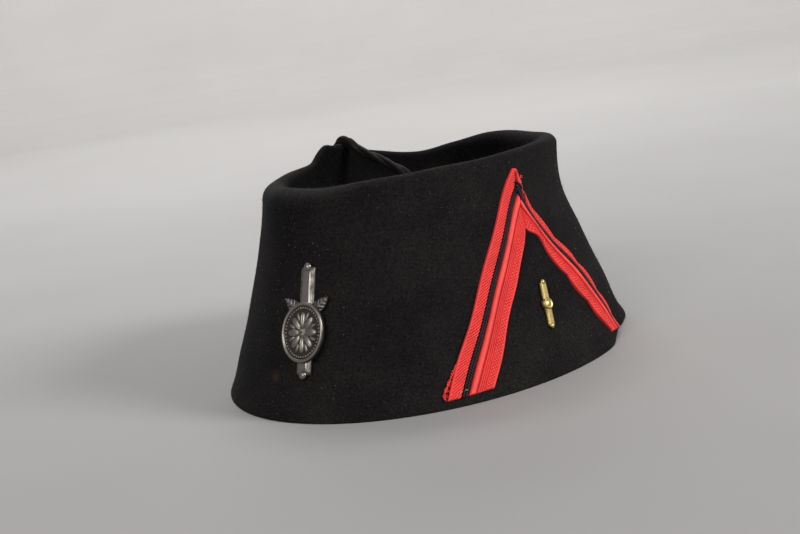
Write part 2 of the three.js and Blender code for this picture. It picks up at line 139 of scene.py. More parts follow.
# Chevron legs from cut end (station 0) to mitre (station 5): the edges, and the stripe's share of the width
LEG_COLUMNS = "station outerTurn outerHeight innerTurn innerHeight stripe"
FRONT_LEG = table(
    LEG_COLUMNS,
    (0, 41.8, 3, 54.3, 3.8, 0.355),
    (1, 48.2, 20.5, 59.3, 16.4, 0.365),
    (2, 55.2, 38, 64.8, 30.3, 0.37),
    (3, 63.5, 55.3, 70.4, 41.4, 0.365),
    (4, 72.4, 73.3, 76, 51.5, 0.345),
    (5, 81.2, 84.6, 78.7, 57.7, 0.3),
)
BACK_LEG = table(
    LEG_COLUMNS,
    (0, 110.9, 1.4, 100.6, 4.8, 0.24),
    (1, 102.7, 21.1, 95.3, 18.1, 0.24),
    (2, 97.4, 37.2, 90.6, 32.1, 0.25),
    (3, 90, 52.6, 85.4, 46.2, 0.33),
    (4, 83.8, 69.9, 83.2, 54.8, 0.43),
    (5, 81.2, 84.6, 78.7, 57.7, 0.3),
)
MITRE = 5
LEG_STEPS = 560
STRIPE_HALF = 0.055
BAND_GAP = 0.018
PEAK_ROUNDING = {"outer": 45, "inner": 7}
SWAY = {"outer": 0.028, "inner": 0.03, "step": 1.94, "peak": 1.69}

# Both braids: foot, rounded edges, cut ends, and puckers by their first nick, shift of the edge and rise
BRAID_FOOT = 0.05
EDGE_ROUNDING = 0.3
CUT_END = {"run": 0.8, "height": 0.3, "paler": 0.3}
PUCKER = {"step": 17.2, "start": 4}
OUTER_PUCKER = {"nick": 2.5, "edge": 0.035, "rise": 0.2}
INNER_PUCKER = {"nick": 11.1, "edge": 0.06, "rise": 0.5}

# Outer braid: a selvedge and a slanting weave, and at the peak a fold, a raised flap and a bed for cords
OUTER_COLUMNS = 42
# Shade and dark values: painted shade in the weave's gaps, at the rounded edges, in the fold and under the
# corner cords; painted highlight on the yarns and the flap that lies on top
OUTER_EDGE = {"height": 0.35, "shade": 0.75}
OUTER_CLOTH = 0.85
WEAVE = {"step": 1.55, "slant": 1.4, "main": 1.6, "crossing": 0.7, "rise": 0.3, "shade": 0.68, "gap": 0.26}
WEAVE_UNEVEN = {"shift": 0.12, "slow": 3.1, "quick": 1.7}
SELVEDGE = {"share": 0.16, "soft": 0.1, "rise": 0.2, "shade": 0.76}
FOLD = {"half": 0.5, "start": 0.35, "soft": 0.3, "depth": 0.6, "dark": 0.9}
FLAP = {"end": 6.3, "soft": 0.5, "rise": 0.75, "shade": 0.15}
CORD_BED = {"start": 6.7, "stop": 10.6, "soft": 0.8, "depth": 0.7, "dark": 0.7}
EDGE_SPREAD = {"share": 0.02, "start": 8}

# Inner braid: a round piping, ribs between grooves, a field of dots, and a seam and a lap at the mitre
INNER_COLUMNS = 86
# Shade and dark values: painted highlight on the piping's crest, painted shade on its flanks, in the
# grooves, in the seam and at the rounded edge
INNER_EDGE = {"height": 0.45, "shade": 0.75}
INNER_CLOTH = {"start": 0.325, "soft": 0.01, "rise": 0.65, "plain": 0.1, "shade": 0.78}
PIPING = {"middle": 0.165, "half": 0.15, "rise": 1.3, "shade": 0.7}
PIPING_BED = {"share": 0.3, "shade": 0.3}
GROOVES = (0.325, 0.41, 0.49, 0.57)
GROOVE = {"width": 0.03, "soft": 0.025, "depth": 0.35, "dark": 0.65}
FIELD = {"start": 0.62, "stop": 0.9, "soft": 0.03, "dark": 0.5}
DOTS = {"along": 1.5, "across": 1.55, "contrast": 2.2, "shrink": 0.2, "rise": 0.3, "shade": 0.72}
SEAM = {"half": 0.45, "depth": 0.4, "dark": 0.75}
LAP = {"rise": 0.5, "riseRun": 4, "sink": 0.35, "sinkRun": 3}
CORNER_TUCK = {"share": 0.09, "run": 5}

# Stripe: a thin ground, two twisted cords on it, and cords that turn the corner at the mitre
# the ground's low shade value is painted shade between and under the cords
GROUND = {"columns": 5, "height": 0.62, "shade": 0.3}
TWIST = {"ring": 0.5, "radius": 0.56, "pitch": 2.1, "sides": 8}
STRIPE_CORD = {"aside": 0.029, "lift": 1.05, "radius": 0.56}
CORNER_CORD = {"lift": 1.5, "arch": 0.9, "start": 0.15, "steps": 60, "radius": 0.6}
CORNER_CORDS = (
    table("turn height", (79.5, 78.8), (80.5, 77.2), (81.4, 75.7), (81.9, 73.9)),
    table("turn height", (79.3, 77.3), (80, 75.8), (80.7, 74.1), (81.2, 72.3)),
    table("turn height", (79.1, 75.8), (79.6, 74.5), (80.1, 72.8), (80.6, 70.7)),
)

# Frayed threads: the front leg's loosened edge with its ties, a tuft beside the peak, and a pale thread end
FRAYED_EDGE = table(
    "turn height",
    (46.3, 15.6),
    (45, 13.7),
    (43.5, 10.3),
    (42.5, 8),
    (41.6, 5.7),
    (41.5, 3.7),
)
FRAY = {"loops": 21, "loop": 0.38, "radius": 0.19, "steps": 480, "sides": 6, "lift": 0.75, "seed": 5}
FRAY_PHASE = {"shift": 0.7, "run": 19}
FRAY_SIZE = {"mean": 0.75, "swing": 0.35, "run": 31}
FRAY_LEAN = {"out": 0.4, "phase": 1, "tilt": 0.3}
FRAY_SHADE = 0.75
TIES = {"count": 36, "start": 0.08, "reach": 0.72, "sway": 0.3, "lift": 0.2}
TIE_THREAD = {"radius": 0.152, "steps": 8, "sides": 6, "across": (0.3, 0.2, 1.0), "shade": 0.6}
TUFT = {"turn": 82.4, "height": 79.6, "lift": 1.4, "threads": 6, "length": 1.2, "lean": 0.25, "curl": 0.45}
TUFT_THREAD = {"radius": 0.11, "steps": 8, "sides": 5, "across": (0.1, 0.3, 1.0), "shade": 1.0}
PALE_END = table("turn height", (45.3, 4.6), (45.6, 5.2), (46, 5.5), (46.6, 5.3), (47.1, 5.6), (47.6, 5.3))
PALE_THREAD = {"lift": 1.3, "wave": 0.5, "waves": 1.5, "steps": 50, "radius": 0.13, "sides": 6}

# Cord: points of its middle line in an upright plane, from the tip, behind the hat's centre, over the rim
CORD_DIAMETER = 4.8
CORD_START_BACK = 8
CORD_HEADING = 251
CORD_ROUTE = table(
    "out height",
    (0, 64.5),
    (0.2, 67.2),
    (0.9, 70.1),
    (2.5, 73.1),
    (5, 75.9),
    (8.2, 78.6),
    (12.3, 80.9),
    (18, 82.9),
    (25, 84.9),
    (32, 86.9),
    (38.6, 88.6),
    (43.2, 89.8),
    (46.9, 90.9),
    (49.4, 91.8),
    (51.4, 93),
    (54.3, 94.7),
    (57.6, 95.3),
    (61.7, 94.4),
    (65, 91.8),
    (66.8, 88.6),
    (67.7, 84),
    (68.1, 78.3),
    (68.4, 72.6),
)
CORD_STEPS = 300
CORD_STRANDS = {"count": 3, "pitch": 58, "ring": 0.2, "radius": 0.295, "sides": 44}
CORD_YARNS = {"count": 11, "pitch": 21, "depth": 0.13}

# Tassel: a turned head with a thread wound round its neck, and a skirt of threads, along the wall's slope
TASSEL_SLOPE = 17
HEAD = table(
    "drop radius",
    (0, 0.6),
    (0.15, 2.6),
    (1.1, 3.9),
    (2.2, 4.6),
    (3.8, 5.1),
    (5.5, 5.3),
    (7, 5.15),
    (8.3, 4.75),
    (9.6, 4.1),
    (11, 3.6),
    (12, 3.9),
    (13, 4.4),
)
HEAD_GRID = {"rows": 60, "sides": 208}
HEAD_RIBS = {"count": 52, "depth": 0.07}
WINDING = {"turns": 6, "steps": 40, "radius": 0.45, "sides": 8, "from": 9.7, "to": 12.7, "ring": 4.05}
SKIRT = {"threads": 900, "start": 11.6, "length": 42, "depth": 6.4, "width": 9, "topShare": 0.6, "seed": 11}
SKIRT_UNEVEN = {"core": 0.03, "length": 1.3, "sway": 0.35, "waves": (0.8, 2.4), "radius": (0.75, 1.15)}
SKIRT_THREAD = {"radius": 0.34, "sides": 4, "steps": 12, "across": (1.0, 0.2, 0)}

# Front badge: an upright bar, an oval medallion with a rosette, and a leaf to each side
BADGE = {"turn": 1.6, "height": 38.2, "lean": 2.5}
BADGE_BAR = {"length": 44, "width": 7.4, "tip": 7, "thickness": 1.5, "panel": 0.3}
BADGE_BALL = {"radius": 1.7, "flatten": 0.7}
MEDALLION = {"radius": 11.2, "rim": 1.4, "bottom": 1.2, "floor": 2.8, "top": 3.6, "bevel": 0.5}
MEDALLION_GRID = {"rows": 96, "sides": 352, "middle": 0.05}
MEDALLION_PLACE = {"below": 4.9, "wide": 0.92, "tall": 1.1}
RIM_SPREAD = 0.02
CREST_RISE = 0.6
DISC_BACK_SHADE = 0.3
BEADS = {"count": 44, "ring": 9.1, "radius": 0.52, "rise": 0.416}
ROSETTE = {"petals": 8, "reach": 4.6, "length": 3.1, "width": 1.5, "rise": 0.8}
SEPAL = {"reach": 6.1, "length": 1.9, "width": 0.75, "rise": 0.45}
PETAL_VEIN = {"depth": 0.16, "width": 0.16}
HEART = {"radius": 1.9, "rise": 1.0, "lobes": 12, "lobe": 0.08}
LEAF = {"length": 12, "width": 5, "thickness": 1.2, "bottom": 0.2, "aside": 1.2, "up": 2, "spread": 52}
LEAF_GRID = {"rows": 72, "columns": 33, "tip": 0.01}
LEAF_DOME = {"edge": 0.5, "fall": 0.96}
LEAF_RIB = {"width": 0.32, "rise": 0.16, "shade": 0.35}
LEAF_VEIN = {"count": 6, "slant": 0.45, "rise": 0.08, "shade": 0.2}

# Side pin: a slim bar with a ball at each end and a round boss
PIN = {"turn": 77.4, "height": 27.8, "lean": -12.7}
PIN_BAR = {"length": 18.6, "width": 3.8, "tip": 3.6, "thickness": 1.4, "panel": 0.0}
PIN_BALL = {"radius": 1.2, "flatten": 0.75}
PIN_BOSS_SIDES = 48
PIN_BOSS = table(
    "out height",
    (0.01, 1.95),
    (0.9, 1.9),
    (1.25, 1.7),
    (1.5, 1.7),
    (1.8, 2.0),
    (2.2, 1.95),
    (2.5, 1.5),
    (2.7, 0.8),
    (2.7, 0.02),
)

# Bars and balls of the badge and the pin, and the relief that shades the flats, crests and backs of both
BAR_GRID = {"rows": 60, "columns": 26}
BAR_POWER = {"across": 7, "along": 60}
BAR_END_HEIGHT = 0.25
BAR_PANEL = {"width": 0.52, "widthSoft": 0.12, "length": 0.9, "lengthSoft": 0.03}
BALL_GRID = {"rows": 22, "sides": 40, "pole": 0.02}
METAL_SHADE = {"bar": 0.45, "panel": 0.4, "leaf": 0.42, "ball": 0.75, "boss": 0.6, "back": 0.1}

# Camera and lights, in metres: the photograph's side of the hat, from a little above, with the frame leaned
HAT_MIDDLE = (0, 0, 0.05)
BACKDROP = (-1.2, 1.65, 0.4)
CAMERA = {"turn": 35.8, "rise": 10.65, "distance": 0.64, "roll": -8.31}
CAMERA_LENS = 63.54
CAMERA_SHIFT = (-0.0236, -0.0301)
COVE = {"sides": 96, "steps": 16, "middle": 0.01, "floor": 1.5, "bend": 0.6, "top": 0.9}
LIGHT_COLOUR = (1.0, 0.988, 0.975)
LIGHTS = {
    "key": {"turn": 98, "rise": 27, "distance": 3.0, "size": 1.0, "power": 98, "aim": HAT_MIDDLE},
    "fill": {"turn": 8, "rise": 25, "distance": 3.0, "size": 1.6, "power": 74, "aim": HAT_MIDDLE},
    "rear": {"turn": 222, "rise": 24, "distance": 3.0, "size": 1.6, "power": 45, "aim": HAT_MIDDLE},
    "backdrop": {"turn": 36, "rise": 50, "distance": 1.6, "size": 1.2, "power": 42, "aim": BACKDROP},
}
SURROUND = {"Color": (0.97, 0.98, 1.0, 1), "Strength": 0.3}

# Finishes: linear colours, and noise scales to a metre of the hat or, for yarns, to a millimetre of lay
FELT_SCALE = {"nap": 1100, "patch": 38, "fleck": 720, "pile": 900}
FELT_DEEP = (0.004, 0.0037, 0.0038)
FELT_LIGHT = (0.0155, 0.014, 0.0138)
FELT_SHADED = (0.72, 0.72, 0.74)
FELT_FADED = (1.35, 1.3, 1.26)
FELT_FLECK = (0.06, 0.06, 0.064)
FELT_SHEEN = (0.75, 0.8, 0.9)
STAIN = {"turn": -9.3, "height": 16.4, "radius": 3.2, "strength": 0.6}
STAIN_BROWN = (0.045, 0.027, 0.018)
# braid colours by relief: painted shade in the grooves, a painted highlight on the crests
BRAID_GROOVE_SHADE = (0.12, 0.004, 0.004)
BRAID_LOW = (0.49, 0.018, 0.017)
BRAID_YARN = (0.79, 0.037, 0.034)
BRAID_CREST_HIGHLIGHT = (0.92, 0.088, 0.076)
BRAID_SHEEN = (1, 0.55, 0.5)
BRAID_SCALE = {"yarn": (1.4, 5.5, 1), "worn": 130}
THREAD_SCALE = {"yarn": (0.6, 4.5, 1), "shade": 260}
THREAD_SLANT = 0.5
METAL_SCALE = {"cloud": 300, "scratch": 5200}
SCRATCH_STRETCH = (1, 1, 0.12)
FIBRE_SCALE = 300
PAPER_SCALE = 4
PAPER_DARK = (0.278, 0.272, 0.269)
PAPER_LIGHT = (0.297, 0.291, 0.288)


def unit(vectors):
    """Vectors scaled to length 1."""
    return vectors / np.linalg.norm(vectors, axis=-1, keepdims=True)


def circle(sides):
    """Even angles round a full circle, in radians."""
    return np.linspace(0, 2 * np.pi, sides, endpoint=False)


def round_z(reach, height, angle):
    """Points round Z: x = reach * cos, y = reach * sin, and a height."""
    reach, height, angle = np.broadcast_arrays(reach, height, angle)
    return np.stack([reach * np.cos(angle), reach * np.sin(angle), height], -1)


def raised(level, height):
    """Level points, x and y, with a height added."""
    return np.concatenate([level, np.broadcast_to(height, level.shape[:-1])[..., None]], -1)


def towards(angle, first, second):
    """Directions turned by an angle from a first one towards a second: cos * first + sin * second."""
    return np.cos(angle) * first + np.sin(angle) * second


def bell(away, half):
    """1 at a place, falling to both sides as exp(-(away / half)^2)."""
    return np.exp(-((away / half) ** 2))


def ripple(turns):
    """Cosine wave over a count of full turns."""
    return np.cos(2 * np.pi * turns)


def from_low(low, share):
    """A low value at a share of 0, rising evenly to 1 at a share of 1."""
    return low + (1 - low) * share


def read(rows, key, column, at, period=0.0):
    """A column between the rows of a table: a cubic in each span, with slopes from the rows beside it."""
    place, value = rows[key], rows[column]
    if period:
        at = np.mod(at, period)
        place = np.concatenate([place[-2:] - period, place, place[:3] + period])
        value = np.concatenate([value[-2:], value, value[:3]])
    slope = np.empty_like(value)
    slope[1:-1] = (value[2:] - value[:-2]) / (place[2:] - place[:-2])
    slope[0] = (value[1] - value[0]) / (place[1] - place[0])
    slope[-1] = (value[-1] - value[-2]) / (place[-1] - place[-2])
    i = np.clip(np.searchsorted(place, at, side="right") - 1, 0, len(place) - 2)
    span = place[i + 1] - place[i]
    t = (at - place[i]) / span
    rise = value[i + 1] - value[i]
    start = slope[i] * span
    end = slope[i + 1] * span
    return value[i] + t * (start + t * (3 * rise - 2 * start - end + t * (start + end - 2 * rise)))


def step_up(at, place, soft):
    """0 before a place and 1 after it, joined over a soft length by the cubic 3t^2 - 2t^3."""
    t = np.clip((at - place) / soft + 0.5, 0, 1)
    return t * t * (3 - 2 * t)


def swell(at, start, stop, soft):
    """1 between two places and 0 outside them, with a soft step at each."""
    return step_up(at, start, soft) * (1 - step_up(at, stop, soft))


def soft_waves(points, length, spread, waves, seed):
    """Random relief of about unit height: a sum of plane waves, each in a random direction."""
    rng = np.random.default_rng(seed)
    direction = unit(rng.normal(size=(waves, 3)))
    ways = direction * (2 * np.pi / (length * rng.uniform(*spread, (waves, 1))))
    phase = rng.uniform(0, 2 * np.pi, waves)
    return np.sin(points @ ways.T + phase).sum(-1) * np.sqrt(2 / waves)


def oval(section, turn):
    """Level oval: x = side * (1 - taper * cos^2 behind) * sin, y = -(front or back reach) * cos."""
    cosine = np.cos(np.radians(turn))
    behind = cosine < 0
    side = section["side"] * np.where(behind, 1 - section["taper"] * cosine**2, 1)
    reach = np.where(behind, section["back"], section["front"])
    return np.stack([side * np.sin(np.radians(turn)), -reach * cosine], -1)


def oval_outward(section, turn):
    """Level outward direction of that oval: its direction round, turned a quarter."""
    around = oval(section, turn + 1) - oval(section, turn - 1)
    return unit(np.stack([around[..., 1], -around[..., 0]], -1))


def wall_section(height):
    """The wall's oval at a height, read from its table."""
    return {column: read(WALL, "height", column, height) for column in OVAL}


def wall(turn, height):
    """Outer wall: the oval at that height, pushed out by the crease, a rounded ridge that fades to both
    sides, and by the hem, whose push fades up the wall."""
    turn, height = np.broadcast_arrays(np.asarray(turn, float), np.asarray(height, float))
    section = wall_section(height)
    away = np.mod(turn - read(CREASE, "height", "turn", height) + 180, 360) - 180
    fall = np.hypot(away, CREASE_ROUNDING) - CREASE_ROUNDING
    rise = read(CREASE, "height", "rise", height) * np.exp(-fall / CREASE_HALF_WIDTH)
    rise = rise + read(HEM, "turn", "push", turn, 360) * np.exp(-height / HEM_FADE)
    return raised(oval(section, turn) + oval_outward(section, turn) * rise[..., None], height)


def wall_normal(turn, height):
    """Outward direction of the wall: the cross of its neighbours round it and up it."""
    around = wall(turn + 1, height) - wall(turn - 1, height)
    above = wall(turn, height + 1) - wall(turn, height - 1)
    return unit(np.cross(around, above))


def grid_quads(rows, columns):
    """Four corners of each cell of a grid whose last column joins the first. Faces look along
    (next column) x (next row)."""
    row = np.arange(rows - 1)[:, None] * columns
    column = np.arange(columns)
    beside = (column + 1) % columns
    corners = [row + column, row + beside, row + columns + beside, row + columns + column]
    return np.stack(corners, -1).reshape(-1, 4)


class Shape:
    """Points with their faces, a relief from 0 (hollow) to 1 (crest), and a lay (along, across, number)."""

    def __init__(self, points, *faces, relief=0.5, lay=None):
        self.points = points.reshape(-1, 3)
        self.faces = faces
        count = len(self.points)
        self.relief = np.broadcast_to(np.asarray(relief, float).reshape(-1), count)
        self.lay = np.zeros((count, 3)) if lay is None else lay.reshape(-1, 3)


def capped(loops, relief=0.5, lay=None):
    """Closed loops of points, one in each row, joined to a skin with one flat face at each end."""
    rows, columns = loops.shape[:2]
    end = np.arange(columns)
    caps = np.stack([end[::-1], (rows - 1) * columns + end])
    return Shape(loops, grid_quads(rows, columns), caps, relief=relief, lay=lay)


def joined(*shapes):
    """Several shapes as one; each one's corners are counted on from the last."""
    starts = np.cumsum([0] + [len(shape.points) for shape in shapes])
    faces = [one + start for shape, start in zip(shapes, starts) for one in shape.faces]
    return Shape(
        np.concatenate([shape.points for shape in shapes]),
        *faces,
        relief=np.concatenate([shape.relief for shape in shapes]),
        lay=np.concatenate([shape.lay for shape in shapes]),
    )


def moved(shape, origin, axes):
    """A shape set down at an origin along three axes, one in each row."""
    return Shape(origin + shape.points @ axes, *shape.faces, relief=shape.relief, lay=shape.lay)


def piece(name, shape, finish, slot, *nodes):
    """A finished object of the hat: a mesh at the origin, riding on the body, in place of CAD nodes."""
    mesh = bpy.data.meshes.new(name)
    corners = np.concatenate([faces.ravel() for faces in shape.faces])
    sizes = np.concatenate([np.full(len(faces), faces.shape[1]) for faces in shape.faces])
    mesh.vertices.add(len(shape.points))
    mesh.vertices.foreach_set("co", (shape.points * MM).ravel())
    mesh.loops.add(len(corners))
    mesh.loops.foreach_set("vertex_index", corners)
    mesh.polygons.add(len(sizes))
    mesh.polygons.foreach_set("loop_start", np.cumsum(sizes) - sizes)
    mesh.polygons.foreach_set("use_smooth", np.ones(len(sizes), bool))
    mesh.update(calc_edges=True)
    relief = mesh.attributes.new("relief", "FLOAT", "POINT")
    relief.data.foreach_set("value", shape.relief.astype(np.float32))
    lay = mesh.attributes.new("lay", "FLOAT_VECTOR", "POINT")
    lay.data.foreach_set("vector", shape.lay.astype(np.float32).ravel())
    mesh.materials.append(finish)
    thing = bpy.data.objects.new(name, mesh)
    bpy.context.scene.collection.objects.link(thing)
    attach(thing, BODY)
    if nodes:
        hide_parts(*nodes)
    return thing


def line_length(points):
    """Length along a line of points, or along each of several lines side by side, from its start."""
    return np.cumsum(np.linalg.norm(np.diff(points, axis=0, prepend=points[:1]), axis=-1), axis=0)


def tubes(paths, across, radius, sides, relief=0.5):
    """Round threads: a ring of points about every point of each path, square to the path, with flat ends.
    paths is (threads, steps, 3), across is a direction that no path follows, radius and relief spread over
    (threads, steps, sides)."""
    threads, steps = paths.shape[:2]
    along = unit(np.gradient(paths, axis=1))
    other = unit(np.cross(along, across))
    first = np.cross(other, along)
    angle = circle(sides)[:, None]
    ring = towards(angle, first[:, :, None], other[:, :, None])
    size = np.broadcast_to(radius, (threads, steps, sides))[..., None]
    points = paths[:, :, None] + size * ring
    start = np.arange(threads)[:, None, None] * steps * sides
    quads = (start + grid_quads(steps, sides)).reshape(-1, 4)
    end = np.arange(sides)
    caps = np.concatenate([start[:, 0] + end[::-1], start[:, 0] + (steps - 1) * sides + end])
    lay = np.zeros(points.shape)
    lay[..., 0] = line_length(paths.swapaxes(0, 1)).T[:, :, None]
    lay[..., 1] = size[..., 0] * angle[:, 0]
    lay[..., 2] = np.arange(threads)[:, None, None]
    return Shape(points, quads, caps, relief=np.broadcast_to(relief, points.shape[:3]), lay=lay)


def turned(out, height, sides, ribs=0, rib_depth=0.0, relief=0.5):
    """Surface of revolution about Z: a profile of reach and height, with ribs that run down it, closed at
    both ends by one flat face. The profile runs downwards, so that its faces look out."""
    angle = circle(sides)
    reach = out[:, None] * (1 - rib_depth * np.abs(np.sin(ribs * angle / 2)))
    points = round_z(reach, height[:, None], angle)[:, ::-1]
    lay = np.zeros(points.shape)
    lay[..., 0] = height[:, None]
    lay[..., 1] = (out[:, None] * angle)[:, ::-1]
    return capped(points, relief, lay)


class Finish:
    """A material's node tree with the few nodes that the hat's finishes share."""

    def __init__(self, name, **sockets):
        self.material = bpy.data.materials.new(name)
        self.material.use_nodes = True
        self.tree = self.material.node_tree
        self.shader = self.tree.nodes["Principled BSDF"]
        self.give(**sockets)

    def feed(self, socket, value):
        """Links an output to a socket or sets its value; a colour is opaque."""
        if isinstance(value, bpy.types.NodeSocket):
            self.tree.links.new(value, socket)
        else:
            socket.default_value = (*value, 1) if socket.type == "RGBA" else value

    def node(self, kind, inputs=(), **settings):
        """A node with its settings, and with inputs fed by number or name."""
        made = self.tree.nodes.new("ShaderNode" + kind)
        for name, value in settings.items():
            setattr(made, name, value)
        for socket, value in dict(inputs).items():
            self.feed(made.inputs[socket], value)
        return made

    def place(self):
        """The point's place on the hat, in metres."""
        return self.node("TexCoord").outputs["Object"]

    def attribute(self, name, output="Fac"):
        """A value that the mesh carries."""
        return self.node("Attribute", attribute_name=name).outputs[output]

    def stretched(self, vector, scale, slant=0.0):
        """A vector scaled along its three axes, then turned about the third."""
        inputs = {"Vector": vector, "Rotation": (0, 0, slant), "Scale": scale}
        return self.node("Mapping", inputs).outputs["Vector"]

    def noise(self, vector, scale, detail=3.0, roughness=0.55):
        """Cloudy values from 0 to 1."""
        inputs = {"Vector": vector, "Scale": scale, "Detail": detail, "Roughness": roughness}
        return self.node("TexNoise", inputs).outputs["Fac"]

    def ramp(self, factor, *stops):
        """Colours along a factor, each stop a place with a colour or one grey value."""
        made = self.node("ValToRGB", {"Fac": factor})
        elements = made.color_ramp.elements
        while len(elements) < len(stops):
            elements.new(1.0)
        for element, (place, colour) in zip(elements, stops):
            element.position = place
            element.color = (*colour, 1) if np.ndim(colour) else (colour, colour, colour, 1)
        return made.outputs["Color"]

    def mixed(self, factor, first, second, blend="MIX"):
        """Two colours blended by a factor."""
        inputs = {0: factor, 6: first, 7: second}
        return self.node("Mix", inputs, data_type="RGBA", blend_type=blend).outputs[2]

    def shaded(self, colour, shade):
        """A colour multiplied by another."""
        return self.mixed(1.0, colour, shade, "MULTIPLY")

    def maths(self, operation, first, second):
        """An operation on two values."""
        return self.node("Math", {0: first, 1: second}, operation=operation).outputs[0]

    def bump(self, height, strength, depth):
        """A surface direction tilted by a height, to a depth in metres."""
        inputs = {"Height": height, "Strength": strength, "Distance": depth}
        return self.node("Bump", inputs).outputs["Normal"]

    def give(self, **sockets):
        """Feeds the shader's sockets, and returns the material."""
        for socket, value in sockets.items():
            self.feed(self.shader.inputs[socket.replace("_", " ")], value)
        return self.material


def spot(finish, place, point, radius):
    """1 at a point of the hat, in millimetres, falling to 0 at a radius."""
    inputs = {0: place, 1: tuple(np.array(point) * MM)}
    away = finish.node("VectorMath", inputs, operation="DISTANCE").outputs["Value"]
    fade = finish.node("MapRange", {"Value": away, "From Max": radius * MM, "To Min": 1.0, "To Max": 0.0})
    return fade.outputs["Result"]


def felt_finish():
    """Near-black wool felt: mottled nap, a painted highlight along the rim and painted shade that blackens
    the hollow, with pale flecks, a faint brown mark and a soft sheen."""
    felt = Finish(
        "felt_nap",
        Roughness=0.95,
        Specular_IOR_Level=0.06,
        Sheen_Weight=0.008,
        Sheen_Roughness=0.6,
        Sheen_Tint=FELT_SHEEN,
    )
    place = felt.place()
    nap = felt.noise(place, FELT_SCALE["nap"], 4)
    patch = felt.noise(place, FELT_SCALE["patch"], 4)
    fleck = felt.noise(place, FELT_SCALE["fleck"], 2, 0.7)
    pile = felt.noise(place, FELT_SCALE["pile"], 5, 0.65)
    colour = felt.ramp(nap, (0.3, FELT_DEEP), (0.72, FELT_LIGHT))
    colour = felt.shaded(colour, felt.ramp(patch, (0.35, FELT_SHADED), (0.7, FELT_FADED)))
    colour = felt.mixed(felt.ramp(fleck, (0.66, 0.0), (0.8, 0.5)), colour, FELT_FLECK)
    # painted highlight along the rim and painted shade down the hollow, from the relief
    colour = felt.shaded(colour, felt.ramp(felt.attribute("relief"), (0.0, 0.28), (0.5, 1.0), (1.0, 1.25)))
    mark = spot(felt, place, wall(STAIN["turn"], STAIN["height"]), STAIN["radius"])
    colour = felt.mixed(felt.maths("MULTIPLY", mark, STAIN["strength"]), colour, STAIN_BROWN)
    height = felt.maths("ADD", pile, felt.maths("MULTIPLY", patch, 1.6))
    return felt.give(Base_Color=colour, Normal=felt.bump(height, 0.55, 0.0004))


def braid_finish():
    """Scarlet braid: painted shade in the grooves of its weave, a paler, pinker painted highlight on the
    crests, with yarn lines.
    """
    braid = Finish(
        "scarlet_braid",
        Roughness=0.75,
        Specular_IOR_Level=0.3,
        Sheen_Weight=0.07,
        Sheen_Roughness=0.4,
        Sheen_Tint=BRAID_SHEEN,
    )
    lay = braid.attribute("lay", "Vector")
    yarn = braid.noise(braid.stretched(lay, BRAID_SCALE["yarn"]), 1.0)
    worn = braid.noise(braid.place(), BRAID_SCALE["worn"])
    stops = ((0.0, BRAID_GROOVE_SHADE), (0.35, BRAID_LOW), (0.7, BRAID_YARN), (1.0, BRAID_CREST_HIGHLIGHT))
    # painted shade where the relief is low, painted highlight where it is high
    colour = braid.ramp(braid.attribute("relief"), *stops)
    colour = braid.shaded(colour, braid.ramp(yarn, (0.3, 0.82), (0.7, 1.08)))
    colour = braid.shaded(colour, braid.ramp(worn, (0.3, 0.84), (0.65, 1.04)))
    return braid.give(Base_Color=colour, Normal=braid.bump(yarn, 0.35, 0.00012))


def thread_finish(name, dark, light, gloss):
    """Twisted thread: yarn lines run slantwise round it, dark between them, with painted shade where its
    relief is low and a painted highlight where it is high.
    """
    thread = Finish(name, Roughness=0.6, Specular_IOR_Level=gloss, Sheen_Weight=0.01, Sheen_Roughness=0.35)
    lay = thread.attribute("lay", "Vector")
    yarn = thread.noise(thread.stretched(lay, THREAD_SCALE["yarn"], THREAD_SLANT), 1.0, 3, 0.6)
    shade = thread.noise(thread.place(), THREAD_SCALE["shade"])
    colour = thread.mixed(thread.ramp(yarn, (0.32, 0.0), (0.72, 1.0)), dark, light)
    colour = thread.shaded(colour, thread.ramp(shade, (0.3, 0.7), (0.7, 1.2)))
    # painted shade where the relief is low and a painted highlight where it is high
    crest = thread.ramp(thread.attribute("relief"), (0.0, 0.1), (0.5, 0.8), (1.0, 3.2))
    return thread.give(Base_Color=thread.shaded(colour, crest), Normal=thread.bump(yarn, 0.5, 0.0002))


def metal_finish(name, tarnish, clean, rough, wear):
    """Stamped metal: tarnish in the hollows and in clouds, bright where it is rubbed, finely scratched."""
    metal = Finish(name, Metallic=1.0)
    place = metal.place()
    cloud = metal.noise(place, METAL_SCALE["cloud"], 5, 0.65)
    scratch = metal.noise(metal.stretched(place, SCRATCH_STRETCH), METAL_SCALE["scratch"], 2)
    crests = metal.maths("MULTIPLY", metal.attribute("relief"), wear)
    paleness = metal.maths("ADD", crests, metal.maths("MULTIPLY", cloud, 1 - wear))
    colour = metal.ramp(paleness, (0.34, tarnish), (0.56, clean))
    colour = metal.shaded(colour, metal.ramp(scratch, (0.3, 0.86), (0.7, 1.06)))
    gloss = metal.ramp(paleness, (0.34, rough + 0.2), (0.6, rough))
    grain = metal.maths("ADD", metal.maths("MULTIPLY", scratch, 0.4), cloud)
    return metal.give(Base_Color=colour, Roughness=gloss, Normal=metal.bump(grain, 0.3, 0.00018))


def plain_fibre_finish(name, low, high):
    """Loose fibres: one hue that varies from place to place."""
    fibre = Finish(name, Roughness=0.8, Sheen_Weight=0.1)
    shade = fibre.noise(fibre.place(), FIBRE_SCALE, 2)
    return fibre.give(Base_Color=fibre.ramp(shade, (0.3, low), (0.7, high)))


